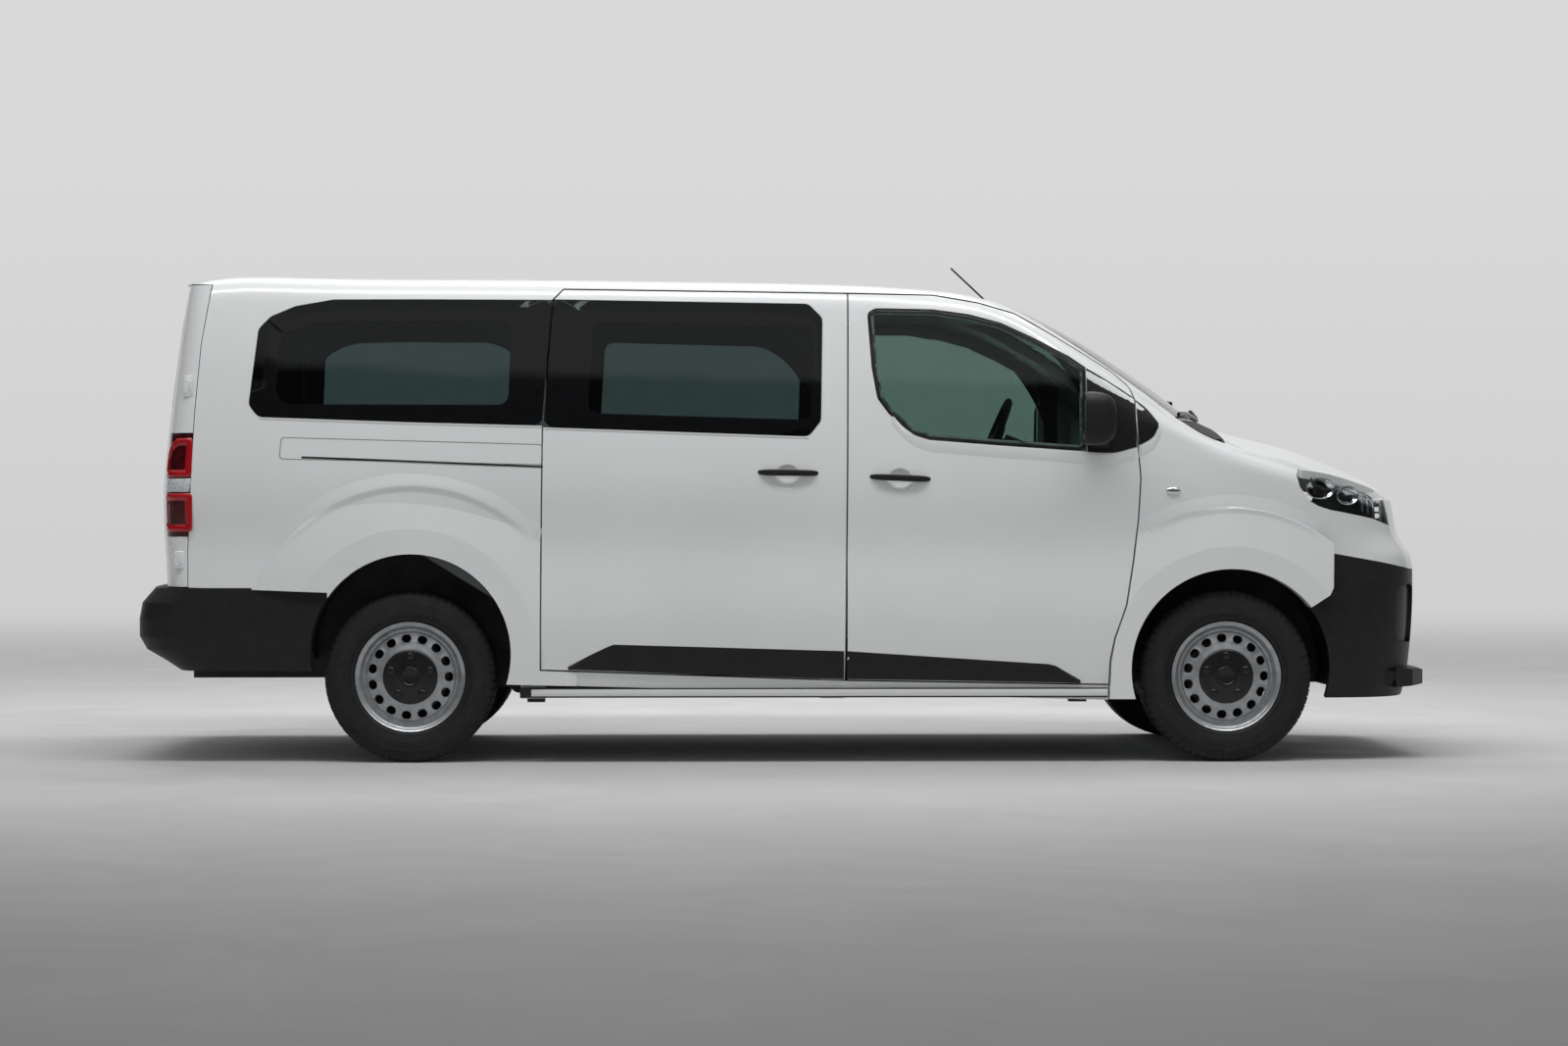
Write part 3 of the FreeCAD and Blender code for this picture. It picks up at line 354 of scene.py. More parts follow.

# %% [markdown]
# ## Mirror and brake finishes, and seam shade
# Mirror glass is silvered on its back, so to the eye it is polished metal. A brake disc is turned cast iron
# with a little rust left in its grooves, which breaks up its shine. A shut line too narrow to model as a gap
# is a thin bead of painted shade, in the grey that the shadow in such a gap shows.

# %% Mirror and brake finishes, and seam shade
def make_mirror_silver():
    made, tree, shader = finish_of("silvered_mirror_glass", "DADDDF", Roughness=0.02, Metallic=1.0)
    spread_colour(tree, shader, "D6D9DB", "DEE1E3", 0.05)
    return made


def make_brake_iron():
    made, tree, shader = finish_of("machined_brake_iron", "6E6A66", Roughness=0.45, Metallic=0.8)
    spread_colour(tree, shader, "5A4E45", "7B7977", 0.02, 6.0)
    grain(tree, shader, 0.001, 0.00008, 3.0, (0.38, 0.6))
    return made


def make_seam_shade():
    # Painted shade: this grey stands for the shadow inside a shut line.
    made, tree, shader = finish_of("shut_line_shade", "6F7273", Roughness=0.6)
    spread_colour(tree, shader, "6A6D6E", "767979", 0.1)
    return made


MIRROR_SILVER = make_mirror_silver()
BRAKE_IRON = make_brake_iron()
SEAM_SHADE = make_seam_shade()
print("made", MIRROR_SILVER.name, BRAKE_IRON.name, SEAM_SHADE.name)

# %% [markdown]
# ## Cabin finishes
# Inside there are five finishes: dark grey moulded trim on the dashboard, a plainer grey on the side linings,
# a pale knitted cloth under the roof, ribbed rubber on the floor, and a plain-weave fabric on the seats. The
# real yarn is about a millimetre thick, so it is drawn four times as coarse, to show at all.


# %% Cabin finishes
def make_cabin_trim():
    made, tree, shader = finish_of("cabin_trim_plastic", "26282A", Roughness=0.62, IOR=1.49)
    spread_colour(tree, shader, "232527", "2B2D2F", 0.1)
    grain(tree, shader, 0.0018, 0.0002, 3.0, (0.55, 0.7))
    return made


def make_seat_fabric():
    made, tree, shader = finish_of("woven_seat_fabric", "2E3236", Roughness=0.9, Sheen_Weight=0.35,
                                   Sheen_Roughness=0.5)
    place = add(tree, "ShaderNodeTexCoord").outputs["Object"]
    thread = 0.004
    warp = add(tree, "ShaderNodeTexWave", {"Vector": place, "Scale": WAVE_BAND / thread, "Distortion": 0.6},
               bands_direction="Y")
    weft = add(tree, "ShaderNodeTexWave", {"Vector": place, "Scale": WAVE_BAND / thread, "Distortion": 0.6},
               bands_direction="Z")
    woven = add(tree, "ShaderNodeMath", {0: warp.outputs["Fac"], 1: weft.outputs["Fac"]},
                operation="MULTIPLY")
    ramp = add(tree, "ShaderNodeValToRGB", {"Fac": woven.outputs["Value"]})
    ramp.color_ramp.elements[0].color = colour("24282B")
    ramp.color_ramp.elements[1].color = colour("454B50")
    tree.links.new(ramp.outputs["Color"], shader.inputs["Base Color"])
    bump = add(tree, "ShaderNodeBump", {"Height": woven.outputs["Value"], "Distance": 0.0008,
                                        "Strength": 0.8})
    tree.links.new(bump.outputs["Normal"], shader.inputs["Normal"])
    return made


def make_headliner():
    made, tree, shader = finish_of("knitted_headliner", "9A9A96", Roughness=0.95, Sheen_Weight=0.3)
    spread_colour(tree, shader, "949490", "A2A29E", 0.15)
    grain(tree, shader, 0.003, 0.0003, 4.0)
    return made


def make_lining_grey():
    made, tree, shader = finish_of("moulded_grey_lining", "55585A", Roughness=0.65, IOR=1.49)
    spread_colour(tree, shader, "515456", "5B5E60", 0.2)
    grain(tree, shader, 0.002, 0.0002, 3.0, (0.58, 0.74))
    return made


def make_ribbed_rubber():
    made, tree, shader = finish_of("ribbed_floor_rubber", "232425", Roughness=0.75, IOR=1.52)
    place = add(tree, "ShaderNodeTexCoord").outputs["Object"]
    pitch = 0.012
    ribs = add(tree, "ShaderNodeTexWave", {"Vector": place, "Scale": WAVE_BAND / pitch, "Distortion": 0.0},
               bands_direction="Y")
    ramp = add(tree, "ShaderNodeValToRGB", {"Fac": ribs.outputs["Fac"]})
    ramp.color_ramp.elements[0].color = colour("1A1B1C")
    ramp.color_ramp.elements[1].color = colour("2C2D2E")
    tree.links.new(ramp.outputs["Color"], shader.inputs["Base Color"])
    bump = add(tree, "ShaderNodeBump", {"Height": ribs.outputs["Fac"], "Distance": 0.0015, "Strength": 0.8})
    tree.links.new(bump.outputs["Normal"], shader.inputs["Normal"])
    return made


CABIN_TRIM = make_cabin_trim()
SEAT_FABRIC = make_seat_fabric()
HEADLINER = make_headliner()
LINING_GREY = make_lining_grey()
RIBBED_RUBBER = make_ribbed_rubber()
print("made", CABIN_TRIM.name, SEAT_FABRIC.name, HEADLINER.name, LINING_GREY.name, RIBBED_RUBBER.name)

# %% [markdown]
# ## Dress the CAD nodes
# Each CAD node keeps its mesh and takes a finish. The table below goes by the first words of a node's
# name, from the most special to the most general.

# %% Which finish goes where
NODE_FINISHES = {
    "antenna": SATIN_PLASTIC,
    "bulkhead": DIPPED_STEEL,
    "cowl": GRAINED_PLASTIC,
    "dashboard": CABIN_TRIM,
    "door_mirror": GRAINED_PLASTIC,
    "driver_seat": SEAT_FABRIC,
    "engine_block": CAST_ALUMINIUM,
    "fixed_side_glass": PRIVACY_GLASS,
    "floor_pan": DIPPED_STEEL,
    "front_bumper": GRAINED_PLASTIC,
    "front_door_glass": CLEAR_GLASS,
    "front_door_handle": GRAINED_PLASTIC,
    "front_hub_cap": SATIN_PLASTIC,
    "front_rim": SILVER_PAINT,
    "front_subframe": DIPPED_STEEL,
    "front_tyre": TYRE_RUBBER,
    "grille": SATIN_PLASTIC,
    "headlamp": SATIN_PLASTIC,
    "knuckle": CAST_ALUMINIUM,
    "passenger_bench": SEAT_FABRIC,
    "rear_axle": DIPPED_STEEL,
    "rear_bumper": GRAINED_PLASTIC,
    "rear_door_glass": PRIVACY_GLASS,
    "rear_hub_cap": SATIN_PLASTIC,
    "rear_rim": SILVER_PAINT,
    "rear_tyre": TYRE_RUBBER,
    "second_row_seats": SEAT_FABRIC,
    "sliding_door_glass": PRIVACY_GLASS,
    "steering": CABIN_TRIM,
    "tail_lamp": DEEP_RED,
    "third_row_seats": SEAT_FABRIC,
    "windscreen_frame": WHITE_ENAMEL,
    "windscreen": CLEAR_GLASS,
}


def finish_for(node):
    """The finish whose key is the longest one that starts the node's name, or else the body paint."""
    keys = [key for key in NODE_FINISHES if node.startswith(key)]
    return NODE_FINISHES[max(keys, key=len)] if keys else WHITE_ENAMEL


for name, thing in nodes.items():
    thing.data.materials.clear()
    thing.data.materials.append(finish_for(name))
print("dressed", len(nodes), "nodes")

# %% [markdown]
# ## Sheets that follow the body
# Frits, seals, cladding and linings all lie on a curved panel. Each one is drawn flat, as rows of points in
# a side, rear or front view, and every point is then sent in a straight line onto the CAD mesh. The sheet
# sits a little proud of the panel and its rim is folded back towards it, so it reads as a moulding and
# not as paint.


# %% Helpers for pieces and sheets
def joined_tree(*names):
    """One ray-casting tree for several CAD nodes."""
    corners, faces = [], []
    for name in names:
        mesh = nodes[name].data
        start = len(corners)
        corners += [vertex.co.copy() for vertex in mesh.vertices]
        faces += [[start + corner for corner in face.vertices] for face in mesh.polygons]
    return BVHTree.FromPolygons(corners, faces)


def new_piece(name, mesh, finishes, body, replaced=(), sharp=38):
    """Link a mesh as a piece of one body, with smooth shading broken at sharp corners."""
    mesh.materials.clear()
    for finish in finishes if isinstance(finishes, (list, tuple)) else [finishes]:
        mesh.materials.append(finish)
    mesh.shade_smooth()
    mesh.set_sharp_from_angle(angle=math.radians(sharp))
    made = bpy.data.objects.new(name, mesh)
    bpy.context.scene.collection.objects.link(made)
    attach(made, body)
    if replaced:
        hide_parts(*replaced)
    return made


def mesh_from(name, corners, faces, closed=True, slots=None):
    """A mesh whose doubles are merged; a closed one has its normals turned outwards."""
    mesh = bpy.data.meshes.new(name)
    mesh.from_pydata([tuple(corner) for corner in corners], [], faces)
    if slots:
        for face, index in zip(mesh.polygons, slots):
            face.material_index = index
    work = bmesh.new()
    work.from_mesh(mesh)
    bmesh.ops.remove_doubles(work, verts=work.verts, dist=1e-6)
    if closed:
        bmesh.ops.recalc_face_normals(work, faces=work.faces)
    work.to_mesh(mesh)
    work.free()
    return mesh


VIEWS = {
    "right": (lambda u, v: Vector((u, -1.4, v)), Vector((0, 1, 0))),
    "left": (lambda u, v: Vector((u, 1.4, v)), Vector((0, -1, 0))),
    "rear": (lambda u, v: Vector((-3.2, u, v)), Vector((1, 0, 0))),
    "front": (lambda u, v: Vector((3.2, u, v)), Vector((-1, 0, 0))),
}


def thrown(view, rows, tree, lifts):
    """Each flat point, in metres, where it lands on the tree, raised towards the viewer."""
    place, way = VIEWS[view]
    ahead_of = way if callable(way) else lambda u, v: way
    depths = [[tree.ray_cast(place(u, v), ahead_of(u, v))[3] for u, v in row] for row in rows]
    known = [depth for line in depths for depth in line if depth is not None]
    landed, depth = [], known[0]
    for row, line, lift in zip(rows, depths, lifts):
        landed.append([])
        for (u, v), found in zip(row, line):
            depth = depth if found is None else found
            landed[-1].append(place(u, v) + ahead_of(u, v) * (depth - lift))
    return landed


def sheet_mesh(name, view, rows, tree, lift=0.001, fold=0.004, ring=False):
    """A grid of quads on a panel, with its rim folded back by `fold`."""
    lifts = lift if isinstance(lift, (list, tuple)) else [lift] * len(rows)
    grid = thrown(view, rows, tree, lifts)
    way = VIEWS[view][1]
    inwards = [way(u, v) if callable(way) else way for row in rows for u, v in row]
    wide = len(grid[0])
    corners = [corner for line in grid for corner in line]
    faces = []
    steps = wide if ring else wide - 1
    for r in range(len(grid) - 1):
        for c in range(steps):
            faces.append((r * wide + c, r * wide + (c + 1) % wide, (r + 1) * wide + (c + 1) % wide,
                          (r + 1) * wide + c))
    last = (len(grid) - 1) * wide
    if ring:
        rims = [list(range(wide)) + [0], [last + c for c in reversed(range(wide))] + [last + wide - 1]]
    else:
        rims = [list(range(wide)) + [r * wide + wide - 1 for r in range(1, len(grid))]
                + [last + c for c in reversed(range(wide - 1))]
                + [r * wide for r in reversed(range(len(grid) - 1))]]
    for rim in rims:
        back = len(corners)
        corners += [corners[at] + inwards[at] * fold for at in rim]
        faces += [(rim[at + 1], rim[at], back + at, back + at + 1) for at in range(len(rim) - 1)]
    normal = sum(((corners[f[1]] - corners[f[0]]).cross(corners[f[3]] - corners[f[0]])
                  for f in faces[:(len(grid) - 1) * steps]), Vector())
    if normal.dot(inwards[len(inwards) // 2]) > 0:
        faces = [tuple(reversed(face)) for face in faces]
    return mesh_from(name, corners, faces, closed=False)


def mm(*points):
    """Flat points given in millimetres, in metres."""
    return [(u / 1000, v / 1000) for u, v in points]


def spaced(line, count):
    """The same open line as `count` evenly spaced points."""
    lengths = [0.0]
    for (u0, v0), (u1, v1) in zip(line, line[1:]):
        lengths.append(lengths[-1] + math.hypot(u1 - u0, v1 - v0))
    out = []
    for at in range(count):
        want = lengths[-1] * at / (count - 1)
        k = max(i for i in range(len(line) - 1) if lengths[i] <= want + 1e-9)
        share = (want - lengths[k]) / max(lengths[k + 1] - lengths[k], 1e-9)
        out.append((line[k][0] + (line[k + 1][0] - line[k][0]) * share,
                    line[k][1] + (line[k + 1][1] - line[k][1]) * share))
    return out


def between(first, second, count, columns):
    """Rows of points that blend from one open line to another."""
    first, second = spaced(first, columns), spaced(second, columns)
    return [[(a[0] + (b[0] - a[0]) * r / (count - 1), a[1] + (b[1] - a[1]) * r / (count - 1))
             for a, b in zip(first, second)] for r in range(count)]


def soft_outline(points, radius, steps=5, along_edge=8):
    """A closed outline with each corner as an arc and each side cut into equal lengths."""
    out = []
    count = len(points)
    for at in range(count):
        before, here, after = (Vector(points[(at + k) % count]) for k in (-1, 0, 1))
        into, away = (before - here), (after - here)
        reach = min(radius * math.tan((math.pi - into.angle(away)) / 2), into.length * 0.48,
                    away.length * 0.48)
        start, end = here + into.normalized() * reach, here + away.normalized() * reach
        for step in range(steps + 1):
            t = step / steps
            out.append((1 - t) ** 2 * start + 2 * t * (1 - t) * here + t ** 2 * end)
        following = Vector(points[(at + 2) % count])
        reach_next = min(radius * math.tan((math.pi - (here - after).angle(following - after)) / 2),
                         away.length * 0.48, (following - after).length * 0.48)
        goal = after - away.normalized() * reach_next
        out += [end.lerp(goal, step / along_edge) for step in range(1, along_edge)]
    return [tuple(point) for point in out]


def inset(points, amount):
    """A closed outline moved inwards by the same amount on every side."""
    count = len(points)
    area = sum(points[i - 1][0] * points[i][1] - points[i][0] * points[i - 1][1] for i in range(count))
    turn = 1 if area > 0 else -1
    out = []
    for at in range(count):
        before, here, after = (Vector(points[(at + k) % count]) for k in (-1, 0, 1))
        first, second = (here - before).normalized(), (after - here).normalized()
        normals = [Vector((-way.y, way.x)) * turn for way in (first, second)]
        middle = (normals[0] + normals[1]).normalized()
        out.append(tuple(here + middle * amount / max(middle.dot(normals[0]), 0.3)))
    return out


def band(name, view, outer, inner, radii, tree, finish, body, lift=0.0006, fold=0.003, rows=3):
    """A ring between two outlines with the same number of corners."""
    outside, inside = soft_outline(outer, radii[0]), soft_outline(inner, radii[1])
    grid = [[tuple(Vector(a).lerp(Vector(b), r / (rows - 1))) for a, b in zip(outside, inside)]
            for r in range(rows)]
    return new_piece(name, sheet_mesh(name, view, grid, tree, lift, fold, ring=True), finish, body)


SIDE_TREES = {
    "right": joined_tree("side_panel_right", "sliding_door", "sliding_door_glass", "fixed_side_glass",
                         "front_door_right", "front_door_glass_right", "front_wing_right", "tail_lamp_right"),
    "left": joined_tree("side_panel_left", "fixed_side_glass", "front_door_left", "front_door_glass_left",
                        "front_wing_left", "tail_lamp_left"),
}
print("sheet helpers ready")

# %% [markdown]
# ## Window surrounds
# Seen from outside, the side glass is one long black band. The dark edge of each pane is the frit, and it is
# much wider at the top and towards the middle pillar than at the bottom. The front door glass has only
# a narrow rubber seal, and a gloss black triangle in front of it carries the mirror.

# %% Window outlines in the side view
QUARTER_OUTER = mm((-2111, 1737), (-2062, 1786), (-1966, 1828), (-1812, 1855), (-1500, 1856), (-940, 1855),
                   (-975, 1349), (-1500, 1362), (-2104, 1383), (-2143, 1431))
QUARTER_CLEAR = mm((-2026, 1690), (-1990, 1722), (-1935, 1748), (-1868, 1763), (-1500, 1766), (-1098, 1766),
                   (-1108, 1431), (-1500, 1432), (-1996, 1433), (-2038, 1474))
SLIDING_OUTER = mm((-926, 1857), (93, 1840), (150, 1783), (141, 1368), (92, 1306), (-962, 1343))
SLIDING_CLEAR = mm((-768, 1767), (80, 1745), (112, 1712), (102, 1388), (84, 1372), (-792, 1398))
FRONT_OUTER = mm((331, 1809), (369, 1822), (595, 1818), (740, 1798), (867, 1764), (1003, 1701), (1139, 1629),
                 (1206, 1584), (1206, 1247), (867, 1270), (576, 1293), (505, 1315), (415, 1396),
                 (370, 1458), (348, 1585))
SAIL_DOOR_TOP = mm((1209, 1583), (1290, 1534), (1352, 1494), (1400, 1462))
SAIL_DOOR_BOTTOM = mm((1209, 1244), (1270, 1240), (1321, 1240), (1408, 1264))
SAIL_BODY_TOP = mm((1407, 1453), (1446, 1424), (1476, 1388), (1496, 1360))
SAIL_BODY_BOTTOM = mm((1416, 1270), (1442, 1282), (1476, 1304), (1496, 1344))

for side in SIDES:
    tree = SIDE_TREES[side]
    door_body = "front_door_" + side + "_assembly"
    band("quarter_glass_frit_" + side, side, QUARTER_OUTER, QUARTER_CLEAR, (0.038, 0.05), tree, FRIT, "body")
    band("sliding_glass_frit_" + side, side, SLIDING_OUTER, SLIDING_CLEAR, (0.038, 0.05), tree, FRIT, "body")
    band("front_glass_seal_" + side, side, FRONT_OUTER, inset(FRONT_OUTER, 0.013), (0.036, 0.026), tree,
         GRAINED_PLASTIC, door_body, lift=0.0012)
    rows = between(SAIL_DOOR_TOP, SAIL_DOOR_BOTTOM, 7, 9)
    new_piece("mirror_sail_" + side, sheet_mesh("mirror_sail_" + side, side, rows, tree, 0.002, 0.004),
              SATIN_PLASTIC, door_body)
    rows = between(SAIL_BODY_TOP, SAIL_BODY_BOTTOM, 5, 7)
    new_piece("wing_sail_" + side, sheet_mesh("wing_sail_" + side, side, rows, tree, 0.002, 0.004),
              SATIN_PLASTIC, "body")
print("window surrounds on both sides")

# %% [markdown]
# ## Rear glass and windscreen surrounds
# The rear door panes and the windscreen are glued in too, so they have the same frit. The windscreen's is
# drawn in a front view and lands on the raked glass.

# %% Rear and front frits
REAR_GLASS = mm((-98, 1797), (-686, 1787), (-754, 1433), (-98, 1413))
SCREEN_OUTER = mm((-628, 1868), (628, 1868), (756, 1380), (-756, 1380))
SCREEN_CLEAR = mm((-560, 1800), (560, 1800), (690, 1440), (-690, 1440))

for side, sign in SIDES.items():
    outline = [(-u * sign, v) for u, v in REAR_GLASS]
    band("rear_glass_frit_" + side, "rear", outline, inset(outline, 0.034), (0.02, 0.03),
         joined_tree("rear_door_glass_" + side, "rear_door_" + side), FRIT,
         "rear_door_" + side + "_assembly")
band("windscreen_frit", "front", SCREEN_OUTER, SCREEN_CLEAR, (0.03, 0.06),
     joined_tree("windscreen", "windscreen_frame"), FRIT, "body", rows=5)
print("rear and front frits made")

# %% [markdown]
# ## Ledges, cladding and the side lamp
# Below the front window the door skin rolls out into a bright ledge that sweeps round the tip of the black
# triangle. A thin bright lip runs below the long glass. Along the sills the doors carry black cladding,
# and a small lamp repeats the indicators on each wing.

# %% Body trim on the sides
WINDOW_BASE = mm((430, 1392), (470, 1346), (520, 1310), (580, 1289), (867, 1266), (1209, 1242), (1270, 1237),
                 (1321, 1236), (1400, 1258))
WINDOW_BASE_BODY = mm((1414, 1265), (1444, 1279), (1480, 1303), (1502, 1346))
QUARTER_BASE = mm((-2102, 1379), (-1500, 1358), (-975, 1345))
SLIDING_BASE = mm((-962, 1339), (-400, 1319), (92, 1302))
CLADDING_TOP = mm((-868, 386), (-780, 432), (-691, 474), (-300, 463), (234, 447))
CLADDING_BASE = mm((-868, 374), (-780, 371), (-691, 368), (-300, 352), (234, 335))
DOOR_CLADDING_TOP = mm((246, 447), (640, 421), (1072, 393), (1182, 330))
DOOR_CLADDING_BASE = mm((246, 335), (640, 329), (1072, 321), (1182, 318))
REPEATER_X, REPEATER_Z = 1.554, 1.088


def lowered(line, down):
    """A line moved straight down."""
    return [(u, v - down) for u, v in line]


def strip(name, side, top, base, lift, fold, finish, body, columns=30, rows=4):
    """A moulding between two lines of the side view; lift may swell from row to row."""
    grid = between(top, base, rows, columns)
    mesh = sheet_mesh(name, side, grid, SIDE_TREES[side], lift, fold)
    return new_piece(name, mesh, finish, body)


for side in SIDES:
    door_body = "front_door_" + side + "_assembly"
    ledge = [0.0065, 0.0060, 0.0035, 0.0004]
    strip("window_ledge_" + side, side, lowered(WINDOW_BASE, 0.003), lowered(WINDOW_BASE, 0.046), ledge,
          0.006, WHITE_ENAMEL, door_body, 48)
    strip("wing_ledge_" + side, side, lowered(WINDOW_BASE_BODY, 0.003), lowered(WINDOW_BASE_BODY, 0.046),
          ledge, 0.006, WHITE_ENAMEL, "body", 14)
    for name, line in (("quarter", QUARTER_BASE), ("sliding", SLIDING_BASE)):
        strip(name + "_glass_lip_" + side, side, lowered(line, 0.001), lowered(line, 0.007),
              [0.0030, 0.0028, 0.0016, 0.0003], 0.003, WHITE_ENAMEL, "body", 40)
    swell = [0.0015, 0.0085, 0.0095, 0.0095]
    strip("sill_cladding_" + side, side, CLADDING_TOP, CLADDING_BASE, swell, 0.010, GRAINED_PLASTIC,
          "body", 40)
    strip("door_cladding_" + side, side, DOOR_CLADDING_TOP, DOOR_CLADDING_BASE, swell, 0.010,
          GRAINED_PLASTIC, door_body, 34)
    turns = [2 * math.pi * k / 32 for k in range(32)]
    rings = [[(REPEATER_X + 0.030 * share * math.cos(turn), REPEATER_Z + 0.016 * share * math.sin(turn))
              for turn in turns] for share in (1.0, 0.96, 0.86, 0.6, 0.25, 0.02)]
    mesh = sheet_mesh("side_repeater_" + side, side, rings, SIDE_TREES[side],
                      [0.001, 0.004, 0.0068, 0.0090, 0.0098, 0.0100], 0.003, ring=True)
    new_piece("side_repeater_" + side, mesh, REFLECTOR, "body")
print("ledges, cladding and repeaters on both sides")

# %% [markdown]
# ## Creases over the wheels
# Over each wheel the body side is pressed into a long shallow arc: the metal rolls out to a crease and drops
# back under it, so a dark line follows the arc. It fades away at both ends.

# %% Arch creases
# Each crease: its middle's x and z, its radius, and its first and last angle in degrees
FRONT_CREASE = (FRONT_AXLE + 0.016, 0.370, 0.653, 57, 121)
REAR_CREASE = (REAR_AXLE + 0.006, 0.435, 0.672, 42, 140)
CREASE_STEPS = 60
for side in SIDES:
    for name, (x, z, radius, first, last) in (("front", FRONT_CREASE), ("rear", REAR_CREASE)):
        profile = ((0.050, 0.0003), (0.026, 0.0042), (0.006, 0.0075), (0.0, 0.0078), (-0.006, 0.0062),
                   (-0.016, 0.0016), (-0.024, 0.0003))
        grid, raised = [], []
        for out, lift in profile:
            row = []
            for step in range(CREASE_STEPS + 1):
                turn = math.radians(first + (last - first) * step / CREASE_STEPS)
                row.append((x + (radius + out) * math.cos(turn), z + (radius + out) * math.sin(turn)))
            grid.append(row)
            raised.append(lift)
        tree = SIDE_TREES[side]
        base = thrown(side, grid, tree, [0.0] * len(grid))
        way = VIEWS[side][1]
        corners, faces = [], []
        for line, lift in zip(base, raised):
            for step, place in enumerate(line):
                fade = math.sin(math.pi * (step / CREASE_STEPS)) ** 0.5
                corners.append(place - way * (0.0002 + lift * fade))
        wide = CREASE_STEPS + 1
        for r in range(len(base) - 1):
            for c in range(CREASE_STEPS):
                quad = (r * wide + c, r * wide + c + 1, (r + 1) * wide + c + 1, (r + 1) * wide + c)
                faces.append(quad if side == "left" else tuple(reversed(quad)))
        mesh = mesh_from("arch_crease", corners, faces, closed=False)
        normal = sum((face.normal * face.area for face in mesh.polygons), Vector())
        if normal.dot(way) > 0:
            mesh.flip_normals()
        new_piece(name + "_arch_crease_" + side, mesh, WHITE_ENAMEL, "body", sharp=60)
print("arch creases on both sides")

# %% [markdown]
# ## Turned and lofted shapes
# Two more helpers make the round and the tapering parts. A lathe turns a closed profile about the wheel's
# axle, and a loft joins cross-sections with the same number of points and closes its ends.


# %% Lathe and loft helpers
def lathe_mesh(name, profile, steps, place, mirror=False):
    """Turn closed (along the axle, radius) points about a Y axis through `place`."""
    corners, faces = [], []
    for step in range(steps):
        turn = 2 * math.pi * step / steps
        for along, radius in profile:
            y = -along if mirror else along
            corners.append(Vector(place) + Vector((radius * math.cos(turn), y, radius * math.sin(turn))))
    count = len(profile)
    for step in range(steps):
        for at in range(count):
            a, b = step * count + at, step * count + (at + 1) % count
            c, d = ((step + 1) % steps) * count + (at + 1) % count, ((step + 1) % steps) * count + at
            faces.append((a, b, c, d))
    return mesh_from(name, corners, faces)


def loft_mesh(name, sections):
    """Join closed sections, lists of points, and close both ends."""
    count = len(sections[0])
    corners = [corner for section in sections for corner in section]
    faces = []
    for s in range(len(sections) - 1):
        for at in range(count):
            faces.append((s * count + at, s * count + (at + 1) % count, (s + 1) * count + (at + 1) % count,
                          (s + 1) * count + at))
    faces.append(tuple(range(count)))
    faces.append(tuple((len(sections) - 1) * count + at for at in range(count)))
    return mesh_from(name, corners, faces)


def oval(centre_at, first, second, half_first, half_second, power=2.6, count=28):
    """A superellipse round a point, spanned by two directions."""
    out = []
    for step in range(count):
        turn = 2 * math.pi * step / count
        c, s = math.cos(turn), math.sin(turn)
        out.append(Vector(centre_at) + Vector(first) * half_first * math.copysign(abs(c) ** (2 / power), c)
                   + Vector(second) * half_second * math.copysign(abs(s) ** (2 / power), s))
    return out


def tube_mesh(name, path, radius, sides=12, flat=1.0):
    """A bar of constant section along a path, oval when flat is under 1."""
    sections = []
    for at, place in enumerate(path):
        ahead_of = path[min(at + 1, len(path) - 1)]
        behind_it = path[max(at - 1, 0)]
        way = (Vector(ahead_of) - Vector(behind_it)).normalized()
        first = (way.orthogonal() if abs(way.z) > 0.9 else way.cross(Vector((0, 0, 1)))).normalized()
        second = way.cross(first).normalized()
        sections.append(oval(place, first, second, radius, radius * flat, 2.0, sides))
    return loft_mesh(name, sections)


def joined_mesh(name, meshes):
    """One mesh from pairs of a mesh and the number of its material."""
    corners, faces, slots = [], [], []
    for mesh, slot in meshes:
        start = len(corners)
        corners += [vertex.co.copy() for vertex in mesh.vertices]
        faces += [tuple(start + corner for corner in face.vertices) for face in mesh.polygons]
        slots += [slot] * len(mesh.polygons)
    made = bpy.data.meshes.new(name)
    made.from_pydata([tuple(corner) for corner in corners], [], faces)
    for face, slot in zip(made.polygons, slots):
        face.material_index = slot
    return made


X, Y, Z = Vector((1, 0, 0)), Vector((0, 1, 0)), Vector((0, 0, 1))
print("lathe and loft ready")

# %% [markdown]
# ## Door mirrors
# Each mirror is a fat rounded shell on a short foot that grows out of the black triangle. Towards the back
# the shell ends in a lip, and the glass sits a little inside it.

